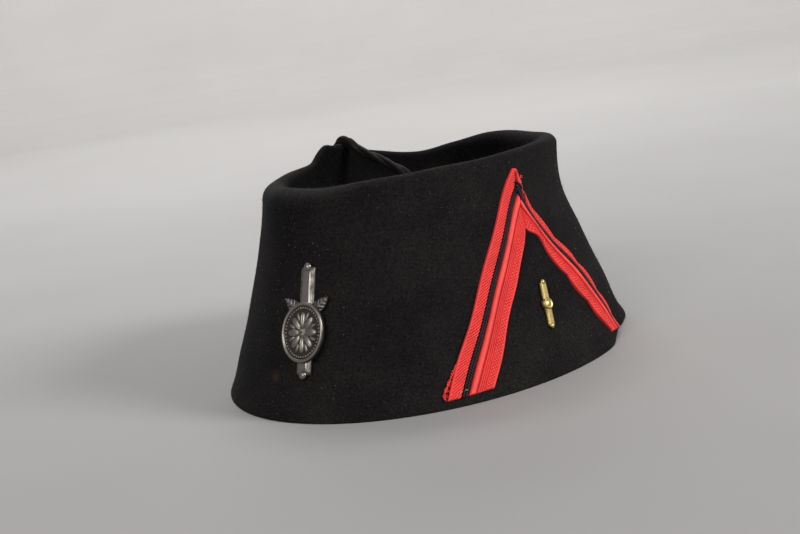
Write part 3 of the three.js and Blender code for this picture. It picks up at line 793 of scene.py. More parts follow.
FELT_NAP = felt_finish()
SCARLET = braid_finish()
STRIPE_BLACK = thread_finish("stripe_black", (0.0035, 0.0024, 0.0032), (0.016, 0.0125, 0.0148), 0.2)
TASSEL_BLACK = thread_finish("tassel_black", (0.0032, 0.0026, 0.0025), (0.0105, 0.0088, 0.0083), 0.06)
NICKEL = metal_finish("dull_nickel", (0.055, 0.048, 0.041), (0.235, 0.217, 0.195), 0.38, 0.5)
BRASS = metal_finish("satin_brass", (0.17, 0.115, 0.036), (0.48, 0.365, 0.147), 0.42, 0.5)
LINT = plain_fibre_finish("pale_lint", (0.1, 0.1, 0.098), (0.5, 0.49, 0.48))
NAP_FIBRE = plain_fibre_finish("felt_fibre", (0.008, 0.0075, 0.008), (0.035, 0.033, 0.033))


def stand(name, data, turn, rise, distance, roll=0, aim=HAT_MIDDLE):
    """A camera or light that looks at an aim from a turn, a rise and a distance, rolled about its view."""
    turn, rise, roll = np.radians([turn, rise, roll])
    back = np.array([np.sin(turn) * np.cos(rise), -np.cos(turn) * np.cos(rise), np.sin(rise)])
    level = np.array([np.cos(turn), np.sin(turn), 0])
    above = np.cross(back, level)
    matrix = np.eye(4)
    matrix[:3, 0] = towards(roll, level, above)
    matrix[:3, 1] = towards(roll, above, -level)
    matrix[:3, 2] = back
    matrix[:3, 3] = np.array(aim) + distance * back
    thing = bpy.data.objects.new(name, data)
    thing.matrix_world = Matrix(matrix.tolist())
    bpy.context.scene.collection.objects.link(thing)
    return thing


def set_camera():
    """Camera on the photograph's side, with its frame shifted to the photograph's."""
    data = bpy.data.cameras.new("camera")
    data.lens = CAMERA_LENS
    data.shift_x, data.shift_y = CAMERA_SHIFT
    bpy.context.scene.camera = stand("camera", data, **CAMERA)


HEADING = np.array([np.sin(np.radians(CORD_HEADING)), -np.cos(np.radians(CORD_HEADING)), 0])
ASIDE = np.cross(UP, HEADING)


def cord_plane(out, height):
    """Points of the cord's upright plane, a distance out along its heading and a height up."""
    foot = np.array([0, CORD_START_BACK, 0])
    return foot + np.multiply.outer(out, HEADING) + np.multiply.outer(height, UP)


def cord_path():
    """The cord's middle line: the route's points joined by cubics in their length along it."""
    points = np.stack([CORD_ROUTE["out"], CORD_ROUTE["height"]], -1)
    route = {**CORD_ROUTE, "length": line_length(points)}
    at = np.linspace(0, route["length"][-1], CORD_STEPS)
    return cord_plane(read(route, "length", "out", at), read(route, "length", "height", at))


def cord_shape(path):
    """Laid cord: strands on a slow helix about the path, each a tube grooved between the yarns that wind
    round it."""
    along = unit(np.gradient(path, axis=0))
    above = np.cross(along, ASIDE)
    length = line_length(path)
    number = np.arange(CORD_STRANDS["count"])[:, None]
    angle = 2 * np.pi * (number / CORD_STRANDS["count"] + length / CORD_STRANDS["pitch"])
    strands = path + CORD_DIAMETER * CORD_STRANDS["ring"] * towards(angle[..., None], ASIDE, above)
    winding = circle(CORD_STRANDS["sides"]) + 2 * np.pi * length[:, None] / CORD_YARNS["pitch"]
    yarn = np.abs(np.sin(CORD_YARNS["count"] / 2 * winding))
    radius = CORD_DIAMETER * CORD_STRANDS["radius"] * (1 - CORD_YARNS["depth"] * (1 - yarn))
    return tubes(strands, ASIDE, radius[None], CORD_STRANDS["sides"])


def tassel_axes():
    """Origin and axes of the tassel: away from the wall, aside, and up along the slope."""
    down = towards(np.radians(TASSEL_SLOPE), -UP, HEADING)
    end = cord_plane(CORD_ROUTE["out"][-1], CORD_ROUTE["height"][-1])
    return end + 2 * GAP * down, np.stack([np.cross(down, ASIDE), ASIDE, -down])


def tassel_head():
    """Head covered with upright threads, and a thread wound round its neck."""
    drop = np.linspace(0, HEAD["drop"][-1], HEAD_GRID["rows"])
    radius = read(HEAD, "drop", "radius", drop)
    head = turned(radius, -drop, HEAD_GRID["sides"], HEAD_RIBS["count"], HEAD_RIBS["depth"])
    turn = np.linspace(0, 2 * np.pi * WINDING["turns"], WINDING["steps"] * WINDING["turns"])
    coil = round_z(WINDING["ring"], -np.linspace(WINDING["from"], WINDING["to"], len(turn)), turn)
    return joined(head, tubes(coil[None], UP, WINDING["radius"], WINDING["sides"]))


def tassel_skirt():
    """Threads that spread from the neck to an oval hem, each with a slow sway and an uneven end."""
    rng = np.random.default_rng(SKIRT["seed"])
    count = SKIRT["threads"]
    angle = rng.uniform(0, 2 * np.pi, count)
    share = np.sqrt(rng.uniform(SKIRT_UNEVEN["core"], 1, count))
    hem = np.stack([SKIRT["depth"] * np.cos(angle), SKIRT["width"] * np.sin(angle)], -1) * share[:, None]
    drop = SKIRT["length"] + rng.uniform(-1, 1, count) * SKIRT_UNEVEN["length"]
    along = np.linspace(0, 1, SKIRT_THREAD["steps"])
    spread = from_low(SKIRT["topShare"], np.sin(along * np.pi / 2))
    swing = SKIRT_UNEVEN["sway"] * rng.normal(size=(count, 1, 2))
    waves = rng.uniform(*SKIRT_UNEVEN["waves"], (count, 1, 2))
    sway = swing * np.sin(along[None, :, None] * np.pi * waves)
    level = hem[:, None] * spread[None, :, None] + sway * along[None, :, None]
    paths = raised(level, -SKIRT["start"] - drop[:, None] * along)
    radius = SKIRT_THREAD["radius"] * rng.uniform(*SKIRT_UNEVEN["radius"], (count, 1, 1))
    return tubes(paths, SKIRT_THREAD["across"], radius, SKIRT_THREAD["sides"])


def felt_line(turn):
    """Outer line of the felt at each turn: up the wall, a half circle of the rim's fold inwards, a cubic
    curve down the bowl, and level rings in to the tip's centre, which is left out: (rings, turns, 3)."""
    fold = read(RIM, "turn", "fold", turn, 360)
    start = read(RIM, "turn", "height", turn, 360) - fold
    share = np.linspace(0, 1, FELT_RINGS["wall"])[:, None]
    walls = wall(turn, FOOT_EDGE + (start - FOOT_EDGE) * share)
    outward = raised(oval_outward(wall_section(start), turn), 0)
    axis = walls[-1] - outward * fold[:, None]
    angle = np.linspace(0, np.pi, FELT_RINGS["fold"] + 1)[1:, None, None]
    folds = axis + fold[:, None] * towards(angle, outward, UP)
    top = folds[-1]
    level_top = raised(top[:, :2], TIP["height"])
    edge = raised(oval(TIP, turn), TIP["height"])
    drop = top + (level_top - top) * BOWL_DROP
    run = edge + (level_top - edge) * BOWL_RUN
    t = np.linspace(0, 1, FELT_RINGS["bowl"] + 1)[1:, None, None]
    bowl = (1 - t) ** 3 * top + 3 * (1 - t) ** 2 * t * drop + 3 * (1 - t) * t**2 * run + t**3 * edge
    inward = 1 - np.linspace(0, 1, FELT_RINGS["tip"] + 1)[1:-1, None]
    tip = raised(edge[:, :2] * inward[..., None], TIP["height"] - TIP["dish"] * (1 - inward**2))
    return np.concatenate([walls, folds, bowl, tip])


def grid_normals(points):
    """Direction of a surface that closes round its columns: the cross of its neighbours both ways."""
    around = np.roll(points, -1, 1) - np.roll(points, 1, 1)
    return unit(np.cross(around, np.gradient(points, axis=0)))


def felt_crown(outer):
    """One felt wall: the outer line softened by shallow dents, the same line one thickness inside, a
    rounded foot between them, and a point at the middle of each skin. Its relief is high along the rim, as
    a painted highlight, and falls to 0 down the hollow, as painted shade."""
    turn = np.arange(FELT_TURNS) * 360 / FELT_TURNS
    fade = np.clip((outer[..., 2:] - DENT_FADE["start"]) / DENT_FADE["run"], 0, 1)
    dent = soft_waves(outer, DENT["length"], DENT["spread"], DENT["waves"], DENT["seed"])[..., None]
    outer = outer + grid_normals(outer) * dent * DENT["rise"] * fade
    inner = (outer - FELT * grid_normals(outer))[::INNER_RING_STEP]
    level = unit(wall_normal(turn, np.zeros(len(turn))) * [1, 1, 0])
    angle = np.linspace(0, np.pi / 2, FOOT_STEPS + 1)[:-1, None]
    foot = wall(turn, FOOT_EDGE * (1 - np.cos(angle)))
    set_in = FOOT_EDGE * (1 - np.sin(angle))[..., None]
    inner = np.concatenate([foot - level * (FELT - set_in), inner[1:]])
    rows = np.concatenate([inner[::-1], foot - level * set_in, outer])
    middle = TIP["height"] - TIP["dish"]
    poles = np.array([[0, 0, middle - FELT], [0, 0, middle]])
    count = len(rows) * FELT_TURNS
    ring = np.arange(FELT_TURNS)
    beside = (ring + 1) % FELT_TURNS
    last = count - FELT_TURNS
    fans = np.concatenate([
        np.stack([beside, ring, np.full_like(ring, count)], -1),
        np.stack([last + ring, last + beside, np.full_like(ring, count + 1)], -1),
    ])
    # relief: a painted highlight along the rim's top and painted shade that darkens the hollow
    from_rim = np.arange(len(rows)) - (len(rows) - len(outer) + FELT_RINGS["wall"] + PAINTED_RIM_HIGHLIGHT["ring"])
    paleness = bell(from_rim, PAINTED_RIM_HIGHLIGHT["spread"])
    hollow_shade = np.clip((from_rim - PAINTED_HOLLOW_SHADE["ring"]) / PAINTED_HOLLOW_SHADE["spread"], 0, 1)
    relief = np.repeat(0.5 + 0.5 * paleness - 0.5 * hollow_shade, FELT_TURNS)
    points = np.concatenate([rows.reshape(-1, 3), poles])
    quads = grid_quads(len(rows), FELT_TURNS)
    return Shape(points, quads, fans, relief=np.concatenate([relief, [0.5, 0]]))


def felt_fibres(grid, count, seed, length, radius, lift, low):
    """Loose fibres on a closed grid of the felt: short bent threads lying along it and lifted, at random
    places that are even by area above a height."""
    rng = np.random.default_rng(seed)
    around = np.roll(grid, -1, 1) - grid
    along = np.diff(grid, axis=0, append=grid[-1:])
    normal = np.cross(around, along)
    area = np.linalg.norm(normal, axis=-1) * (grid[..., 2] > low)
    cell = rng.choice(area.size, count, p=(area / area.sum()).ravel())
    normal = unit(normal.reshape(-1, 3)[cell])
    root = grid.reshape(-1, 3)[cell] + rng.uniform(0, 1, (count, 1)) * around.reshape(-1, 3)[cell]
    root = root + rng.uniform(0, 1, (count, 1)) * along.reshape(-1, 3)[cell]
    way = unit(np.cross(normal, rng.normal(size=(count, 3))))
    side = np.cross(normal, way)
    size = rng.uniform(*length, count)[:, None, None]
    t = np.linspace(0, 1, FIBRE["steps"])[None, :, None]
    curl = rng.uniform(-FIBRE["curl"], FIBRE["curl"], (count, 1, 1))
    rise = rng.uniform(*lift, count)[:, None, None]
    root = root + FIBRE["clear"] * normal
    bend = t * way[:, None] + curl * t**2 * side[:, None] + rise * t * normal[:, None]
    across = (normal + FIBRE["tilt"] * side)[:, None]
    return tubes(root[:, None] + size * bend, across, radius, FIBRE["sides"])


def chevron_lines():
    """Both edges and the stripe's share along the chevron, up the front leg and down the back, with its
    peak rounded by a short running mean. The front leg's edges sway as hand-sewn ones do."""
    station = np.linspace(0, MITRE, LEG_STEPS)
    up = {column: read(FRONT_LEG, "station", column, station) for column in FRONT_LEG}
    down = {column: read(BACK_LEG, "station", column, station[-2::-1]) for column in BACK_LEG}
    lines = {column: np.concatenate([up[column], down[column]]) for column in FRONT_LEG}
    for edge, steps in PEAK_ROUNDING.items():
        kernel = np.hanning(steps)
        for column in (edge + "Turn", edge + "Height"):
            padded = np.pad(lines[column], steps // 2, mode="reflect", reflect_type="odd")
            lines[column] = np.convolve(padded, kernel / kernel.sum(), mode="valid")
    lines["back"] = (np.arange(len(lines["station"])) >= LEG_STEPS).astype(float)
    sway = ripple((lines["station"] - SWAY["peak"]) / SWAY["step"]) * (1 - lines["back"])
    for column in ("Turn", "Height"):
        width = lines["inner" + column] - lines["outer" + column]
        lines["outer" + column] = lines["outer" + column] + SWAY["outer"] * sway * width
        lines["inner" + column] = lines["inner" + column] + SWAY["inner"] * (1 - sway) / 2 * width
    return lines


LINES = chevron_lines()


def on_chevron(share):
    """Places on the chevron, a share of its width from the outer edge, one row a step: the points of the
    wall and its outward directions."""
    turn = LINES["outerTurn"][:, None] * (1 - share) + LINES["innerTurn"][:, None] * share
    height = LINES["outerHeight"][:, None] * (1 - share) + LINES["innerHeight"][:, None] * share
    return wall(turn, height), wall_normal(turn, height)


def band(low, high, columns, profile):
    """One braid of the chevron: its top follows the profile in the braid's own length and width, and falls
    at its cut ends, and its foot lies on the felt."""
    across = np.linspace(0, 1, columns)
    share = low[:, None] + (high - low)[:, None] * across
    flat = on_chevron(share)[0]
    rows = line_length(flat)
    from_edge = flat - flat[:, :1]
    slide = np.sum(from_edge * unit(np.gradient(flat[:, :1], axis=0)), -1)
    place = {
        "length": rows[:, :1] + slide,
        "aside": np.sqrt(np.sum(from_edge**2, -1) - slide**2),
        "back": LINES["back"][:, None],
        "mitre": np.abs(rows - rows[LEG_STEPS - 1]),
    }
    top, relief, shift = profile(**place)
    middle = rows[:, columns // 2][:, None]
    cut = np.clip(np.minimum(middle, middle[-1] - middle) / CUT_END["run"], 0, 1)
    fall = from_low(CUT_END["height"], np.sqrt(1 - (1 - cut) ** 2))
    top = BRAID_FOOT + (top - BRAID_FOOT) * fall
    relief = np.clip(relief + CUT_END["paler"] * (1 - cut), 0, 1)
    share = share + shift
    foot = np.full((len(low), 1), BRAID_FOOT)
    lift = np.concatenate([foot, top, foot], 1)
    points, normal = on_chevron(np.concatenate([share[:, :1], share, share[:, -1:]], 1))
    lay = np.zeros(points.shape)
    lay[:, 1:-1, 0] = place["length"]
    lay[:, 1:-1, 1] = place["aside"]
    lay[:, [0, -1]] = lay[:, [1, -2]]
    shade = np.concatenate([relief[:, :1], relief, relief[:, -1:]], 1)
    return capped(points + normal * lift[..., None], shade, lay)


def slanting_yarns(length, aside):
    """Twill: a wave along the braid that shifts with the distance across it, crossed by a fainter one that
    shifts the other way, from 0 in the gaps to 1 on the yarns. Slow waves make both uneven."""
    slow = np.sin(length / WEAVE_UNEVEN["slow"])
    quick = np.sin(length / WEAVE_UNEVEN["quick"] + aside)
    uneven = length + WEAVE_UNEVEN["shift"] * (slow + quick)
    main = ripple((uneven - WEAVE["slant"] * aside) / WEAVE["step"])
    crossing = ripple((uneven + aside) / WEAVE["step"])
    return 0.5 + 0.5 * np.tanh(WEAVE["main"] * main + WEAVE["crossing"] * crossing)


def staggered_dots(length, aside):
    """Dots in rows set half a step apart, as the product of a wave along the braid and one across it."""
    waves = ripple(length / DOTS["along"]) * ripple(aside / DOTS["across"])
    return 0.5 + 0.5 * np.tanh(DOTS["contrast"] * waves - DOTS["shrink"])


def puckers(length, back, mitre, nick):
    """Scallops along the back leg, where the braid is gathered: rounded swells from -1 to 1 between sharp
    nicks, which begin beyond the mitre."""
    swells = 2 * np.abs(np.sin(np.pi * (length - nick) / PUCKER["step"])) - 1
    return back * swells * (1 - np.exp(-mitre / PUCKER["start"]))


def rounded(inside):
    """Quarter circle over the first stretch inside an edge: 0 at the edge, 1 from one rounding on."""
    return np.sqrt(1 - (1 - np.clip(inside / EDGE_ROUNDING, 0, 1)) ** 2)


def outer_profile(length, aside, back, mitre):
    """Outer braid: soft edges, a narrow smooth selvedge on the outside, and slanting yarns on the rest.
    Beyond its fold at the peak, a raised flap lies on the back leg and stops where the corner cords cross.
    That leg's outer edge spreads and puckers. Gives the height, the relief and the shift across."""
    width = aside[:, -1:]
    across = aside / width
    crown = rounded(aside) * rounded(width - aside)
    woven = step_up(across, SELVEDGE["share"], SELVEDGE["soft"])
    yarns = slanting_yarns(length, aside) * woven
    fold = bell(mitre, FOLD["half"]) * step_up(across, FOLD["start"], FOLD["soft"])
    flap = back * (1 - step_up(mitre, FLAP["end"], FLAP["soft"]))
    bed = back * swell(mitre, CORD_BED["start"], CORD_BED["stop"], CORD_BED["soft"])
    beat = puckers(length, back, mitre, OUTER_PUCKER["nick"])
    cloth = OUTER_CLOTH + WEAVE["rise"] * yarns + SELVEDGE["rise"] * (1 - woven)
    top = OUTER_EDGE["height"] + crown * cloth + FLAP["rise"] * flap
    top = top - FOLD["depth"] * fold - CORD_BED["depth"] * bed + OUTER_PUCKER["rise"] * beat
    # relief: painted shade in the weave's gaps, at the edges, in the fold and under the corner cords;
    # painted highlight on the yarns and flap
    relief = WEAVE["gap"] * woven + WEAVE["shade"] * yarns + SELVEDGE["shade"] * (1 - woven)
    relief = (relief + FLAP["shade"] * flap) * from_low(OUTER_EDGE["shade"], crown)
    relief = relief * (1 - FOLD["dark"] * fold) * (1 - CORD_BED["dark"] * bed)
    spread = EDGE_SPREAD["share"] * back * (1 - bell(mitre, EDGE_SPREAD["start"]))
    return top, relief, -(spread + OUTER_PUCKER["edge"] * beat) * (1 - across)


def inner_profile(length, aside, back, mitre):
    """Inner braid: a round piping, fine ribs between grooves, a field of dots and a smooth selvedge. At the
    mitre the front leg lies on the back one, whose free edge puckers, and the corner is tucked up. Gives
    the height, the relief and the shift across."""
    width = aside[:, -1:]
    across = aside / width
    piping = np.sqrt(np.clip(1 - ((across - PIPING["middle"]) / PIPING["half"]) ** 2, 0, 1))
    flat = step_up(across, INNER_CLOTH["start"], INNER_CLOTH["soft"])
    grooves = sum(swell(across, place, place + GROOVE["width"], GROOVE["soft"]) for place in GROOVES)
    field = swell(across, FIELD["start"], FIELD["stop"], FIELD["soft"])
    dots = staggered_dots(length, aside) * field
    fall = rounded(width - aside)
    seam = bell(mitre, SEAM["half"])
    lap = LAP["rise"] * np.exp(-mitre / LAP["riseRun"]) * (1 - back)
    lap = lap - LAP["sink"] * np.exp(-mitre / LAP["sinkRun"]) * back
    beat = puckers(length, back, mitre, INNER_PUCKER["nick"])
    cloth = INNER_CLOTH["rise"] - GROOVE["depth"] * grooves
    cloth = cloth + DOTS["rise"] * dots + INNER_CLOTH["plain"] * (1 - field)
    top = INNER_EDGE["height"] + PIPING["rise"] * piping + flat * fall * cloth + lap - SEAM["depth"] * seam
    top = top + INNER_PUCKER["rise"] * (0.5 + 0.5 * beat) * back * across**2
    weave = INNER_CLOTH["shade"] - FIELD["dark"] * field + DOTS["shade"] * dots
    weave = weave * from_low(INNER_EDGE["shade"], fall)
    # relief: painted highlight on the piping's crest, painted shade on its flanks, in the grooves, the seam
    # and at the edge
    relief = PIPING_BED["shade"] * (across < PIPING_BED["share"]) + PIPING["shade"] * piping**2
    relief = (relief + flat * weave) * (1 - GROOVE["dark"] * grooves) * (1 - SEAM["dark"] * seam)
    tuck = CORNER_TUCK["share"] * np.exp(-mitre / CORNER_TUCK["run"])
    return top, np.clip(relief, 0, 1), (INNER_PUCKER["edge"] * beat - tuck) * across**3


def ground_profile(length, aside, back, mitre):
    """Thin flat ground under the stripe's cords: one height and one low relief, painted shade between and
    under the cords.
    """
    return GROUND["height"] + 0 * mitre, GROUND["shade"] + 0 * mitre, 0


def outer_braid():
    """The braid from the chevron's outer edge to the stripe."""
    stripe = LINES["stripe"]
    return band(0 * stripe, stripe - STRIPE_HALF - BAND_GAP, OUTER_COLUMNS, outer_profile)


def inner_braid():
    """The braid from the stripe to the chevron's inner edge."""
    stripe = LINES["stripe"]
    return band(stripe + STRIPE_HALF + BAND_GAP, 0 * stripe + 1, INNER_COLUMNS, inner_profile)


def twisted_pair(path, normal, radius):
    """Two-ply cord: two round threads on a helix about the path, with the relief high where a thread lies
    on top, a painted highlight, and low where it dips under, painted shade.
    """
    along = unit(np.gradient(path, axis=0))
    side = unit(np.cross(along, normal))
    number = np.array([[0], [0.5]])
    angle = 2 * np.pi * (number + line_length(path) / TWIST["pitch"])
    threads = path + radius * TWIST["ring"] * towards(angle[..., None], side, normal)
    # painted highlight where a thread lies on top, painted shade where it dips under
    crest = (0.5 + 0.5 * np.sin(angle))[..., None]
    return tubes(threads, normal, radius * TWIST["radius"], TWIST["sides"], relief=crest)


def on_wall(line, lift, steps):
    """A line of turns and heights joined by cubics, off the wall: its points and outward directions."""
    rows = {**line, "row": np.arange(len(line["turn"]), dtype=float)}
    at = np.linspace(0, len(line["turn"]) - 1, steps)
    turn = read(rows, "row", "turn", at)
    height = read(rows, "row", "height", at)
    normal = wall_normal(turn, height)
    return wall(turn, height) + normal * np.reshape(lift, (-1, 1)), normal


def stripe_cords():
    """Two twisted cords side by side on a thin ground, and three that turn the corner at the mitre."""
    stripe = LINES["stripe"]
    shapes = [band(stripe - STRIPE_HALF, stripe + STRIPE_HALF, GROUND["columns"], ground_profile)]
    for side in (-STRIPE_CORD["aside"], STRIPE_CORD["aside"]):
        points, normal = on_chevron((stripe + side)[:, None])
        path = points + STRIPE_CORD["lift"] * normal
        shapes.append(twisted_pair(path[:, 0], normal[:, 0], STRIPE_CORD["radius"]))
    steps = CORNER_CORD["steps"]
    arch = CORNER_CORD["arch"] * np.sin(np.linspace(CORNER_CORD["start"], 1, steps) * np.pi)
    for line in CORNER_CORDS:
        path, normal = on_wall(line, CORNER_CORD["lift"] + arch, steps)
        shapes.append(twisted_pair(path, normal, CORNER_CORD["radius"]))
    return joined(*shapes)


def frayed_loops(middle, normal):
    """One thread in uneven loops along the frayed edge."""
    steps = FRAY["steps"]
    along = unit(np.gradient(middle, axis=0))
    side = np.cross(normal, along)
    turn = np.linspace(0, 2 * np.pi * FRAY["loops"], steps)
    turn = (turn + FRAY_PHASE["shift"] * np.sin(np.linspace(0, FRAY_PHASE["run"], steps)))[:, None]
    swing = np.sin(np.linspace(0, FRAY_SIZE["run"], steps))[:, None]
    size = FRAY["loop"] * (FRAY_SIZE["mean"] + FRAY_SIZE["swing"] * swing)
    lean = FRAY_LEAN["out"] * np.sin(turn + FRAY_LEAN["phase"])
    path = middle + size * (towards(turn, side, along) + lean * normal)
    across = normal + FRAY_LEAN["tilt"] * side
    return tubes(path[None], across, FRAY["radius"], FRAY["sides"], relief=FRAY_SHADE)


def frayed_ties(middle, rng):
    """Short threads from the braid's outer edge to random places on the frayed edge, each with a sway."""
    at = np.sort(rng.uniform(TIES["start"], 1, TIES["count"]))
    foot = middle[(at * (FRAY["steps"] - 1)).astype(int)]
    station = TIES["reach"] * (1 - at)
    edge = [read(FRONT_LEG, "station", column, station) for column in ("outerTurn", "outerHeight")]
    root = wall(*edge)
    thread = TIE_THREAD
    t = np.linspace(0, 1, thread["steps"])[None, :, None]
    sway = rng.normal(size=(TIES["count"], 1, 3)) * TIES["sway"]
    paths = root[:, None] + t * (foot - root)[:, None] + np.sin(np.pi * t) * sway + TIES["lift"] * UP
    return tubes(paths, thread["across"], thread["radius"], thread["sides"], relief=thread["shade"])


def peak_tuft(rng):
    """Thread ends that leave the peak round the wall, each curled its own way."""
    curl = rng.normal(size=(TUFT["threads"], 1, 3)) * TUFT["curl"]
    out = wall_normal(TUFT["turn"], TUFT["height"])
    start = wall(TUFT["turn"], TUFT["height"])
    around = unit(wall(TUFT["turn"] + 1, TUFT["height"]) - start)
    thread = TUFT_THREAD
    t = np.linspace(0, 1, thread["steps"])[None, :, None]
    bent = t * (around + TUFT["lean"] * out) + t**2 * curl
    paths = start + TUFT["lift"] * out + TUFT["length"] * bent
    return tubes(paths, thread["across"], thread["radius"], thread["sides"], relief=thread["shade"])


def frayed_threads():
    """Loosened red threads: the loops and ties of the frayed edge, and a tuft beside the peak."""
    rng = np.random.default_rng(FRAY["seed"])
    middle, normal = on_wall(FRAYED_EDGE, FRAY["lift"], FRAY["steps"])
    return joined(frayed_loops(middle, normal), frayed_ties(middle, rng), peak_tuft(rng))


def pale_thread():
    """A pale thread end that bridges the cut end of the stripe."""
    wave = np.sin(np.linspace(0, 2 * np.pi * PALE_THREAD["waves"], PALE_THREAD["steps"]))
    lift = PALE_THREAD["lift"] + PALE_THREAD["wave"] * wave
    path, normal = on_wall(PALE_END, lift, PALE_THREAD["steps"])
    return tubes(path[None], normal, PALE_THREAD["radius"], PALE_THREAD["sides"])


def flat_bar(bar):
    """Bar along Y that narrows to both ends: its height falls to its sides and ends as the root of 1 less a
    high power of the share of the way there, with a raised panel, and its back is flat."""
    along = np.linspace(-1, 1, BAR_GRID["rows"])[:, None]
    across = np.linspace(-1, 1, BAR_GRID["columns"])
    half = (bar["width"] + (bar["tip"] - bar["width"]) * np.abs(along)) / 2
    crown = np.sqrt(1 - np.abs(across) ** BAR_POWER["across"])
    ends = from_low(BAR_END_HEIGHT, np.sqrt(1 - np.abs(along) ** BAR_POWER["along"]))
    inside_width = 1 - step_up(np.abs(across), BAR_PANEL["width"], BAR_PANEL["widthSoft"])
    inside_length = 1 - step_up(np.abs(along), BAR_PANEL["length"], BAR_PANEL["lengthSoft"])
    panel = inside_width * inside_length
    x = half * across
    y = bar["length"] / 2 * along + 0 * across
    top = np.stack([x, y, bar["thickness"] * crown * ends + bar["panel"] * panel], -1)
    foot = np.stack([x, y, 0 * x], -1)[:, -2:0:-1]
    shade = METAL_SHADE["bar"] + METAL_SHADE["panel"] * panel
    relief = np.concatenate([shade, METAL_SHADE["back"] + 0 * foot[..., 0]], 1)
    return capped(np.concatenate([top, foot], 1), relief)


def end_balls(bar, ball):
    """A flattened ball on each end of a bar."""
    angle = np.linspace(BALL_GRID["pole"], np.pi - BALL_GRID["pole"], BALL_GRID["rows"])
    out = ball["radius"] * np.sin(angle)
    height = ball["radius"] * ball["flatten"] * (1 + np.cos(angle))
    one = turned(out, height, BALL_GRID["sides"], relief=METAL_SHADE["ball"])
    return [moved(one, np.array([0, end * bar["length"] / 2, 0]), np.eye(3)) for end in (-1, 1)]


def dome(along, across, length, width, rise):
    """Height of half an ellipsoid over a place in its plane, 0 outside it."""
    return rise * np.sqrt(np.clip(1 - (along / length) ** 2 - (across / width) ** 2, 0, 1))


def nearest(angle, step):
    """Angle from the nearest of the even steps round a circle."""
    return np.mod(angle + step / 2, step) - step / 2


def medallion():
    """Round medallion as a height over radius and angle: a raised rim, a ring of beads, a rosette of petals
    and sepals with a round heart, and a plain back. It is stretched to an oval."""
    radius = MEDALLION["radius"]
    floor = MEDALLION["floor"]
    reach = np.linspace(MEDALLION_GRID["middle"], radius, MEDALLION_GRID["rows"])[:, None]
    angle = circle(MEDALLION_GRID["sides"])
    half_rim = MEDALLION["rim"] / 2
    rim = dome(reach - radius + half_rim, 0, half_rim + RIM_SPREAD, 1, MEDALLION["top"] - floor)
    from_bead = nearest(angle, 2 * np.pi / BEADS["count"]) * BEADS["ring"]
    beads = dome(reach - BEADS["ring"], from_bead, BEADS["radius"], BEADS["radius"], BEADS["rise"])
    heart = dome(reach, 0 * angle, HEART["radius"], HEART["radius"], HEART["rise"])
    relief = heart * (1 + HEART["lobe"] * np.cos(HEART["lobes"] * angle))
    petal_step = 2 * np.pi / ROSETTE["petals"]
    for form, offset in ((ROSETTE, 0), (SEPAL, petal_step / 2)):
        aside = nearest(angle + offset, petal_step)
        out = reach * np.cos(aside) - form["reach"]
        wide = reach * np.sin(aside)
        vein = PETAL_VEIN["depth"] * bell(wide, PETAL_VEIN["width"])
        blade = dome(out, wide, form["length"], form["width"], form["rise"])
        relief = np.maximum(relief, blade * (1 - vein))
    height = floor + np.maximum(np.maximum(rim, beads), relief)
    bottom, bevel = MEDALLION["bottom"], MEDALLION["bevel"]
    back_reach = np.array([[radius], [radius - bevel], [MEDALLION_GRID["middle"]]])
    back_height = np.array([[bottom + bevel], [bottom], [bottom]])
    rows = np.concatenate([round_z(reach, height, angle), round_z(back_reach, back_height, angle)])[:, ::-1]
    crest = np.clip((height - floor) / CREST_RISE, 0, 1)
    shade = np.concatenate([crest, np.full((len(back_reach), len(angle)), DISC_BACK_SHADE)])[:, ::-1]
    oval_axes = np.diag([MEDALLION_PLACE["wide"], MEDALLION_PLACE["tall"], 1])
    return moved(capped(rows, shade), np.array([0, -MEDALLION_PLACE["below"], 0]), oval_axes)


def leaf(hand):
    """Pointed leaf: half as wide as 2t(1-t) of the width at a share t of its length, domed, with a rib and
    veins."""
    t = np.linspace(LEAF_GRID["tip"], 1 - LEAF_GRID["tip"], LEAF_GRID["rows"])[:, None]
    across = np.linspace(-1, 1, LEAF_GRID["columns"])
    half = 2 * t * (1 - t) * LEAF["width"]
    x = half * across
    y = LEAF["length"] * t + 0 * across
    rib = bell(x, LEAF_RIB["width"])
    vein = ripple(LEAF_VEIN["count"] * t - LEAF_VEIN["slant"] * np.abs(x)) * (1 - rib)
    rise = LEAF["thickness"] * from_low(LEAF_DOME["edge"], np.sqrt(1 - LEAF_DOME["fall"] * across**2))
    rise = rise + LEAF_RIB["rise"] * rib + LEAF_VEIN["rise"] * vein
    top = np.stack([x, y, LEAF["bottom"] + rise], -1)
    foot = np.stack([x, y, LEAF["bottom"] + 0 * x], -1)[:, ::-1]
    shade = METAL_SHADE["leaf"] + LEAF_RIB["shade"] * rib + LEAF_VEIN["shade"] * vein
    shape = capped(np.concatenate([top, foot], 1), np.concatenate([shade, METAL_SHADE["back"] + 0 * x], 1))
    spread = np.radians(-hand * LEAF["spread"])
    axes = np.array([[np.cos(spread), np.sin(spread), 0], [-np.sin(spread), np.cos(spread), 0], [0, 0, 1]])
    return moved(shape, np.array([hand * LEAF["aside"], LEAF["up"], 0]), axes)


def seat(place):
    """Origin and axes on the wall: X level, Y up the wall, Z outwards, leaned about Z."""
    normal = wall_normal(place["turn"], place["height"])
    level = unit(np.cross(UP, normal))
    above = np.cross(normal, level)
    lean = np.radians(place["lean"])
    axes = np.stack([towards(lean, level, above), towards(lean, above, -level), normal])
    return wall(place["turn"], place["height"]) + GAP * normal, axes


def front_badge():
    """Bar, balls, medallion and leaves, seated at the front."""
    balls = end_balls(BADGE_BAR, BADGE_BALL)
    return moved(joined(flat_bar(BADGE_BAR), *balls, medallion(), leaf(-1), leaf(1)), *seat(BADGE))


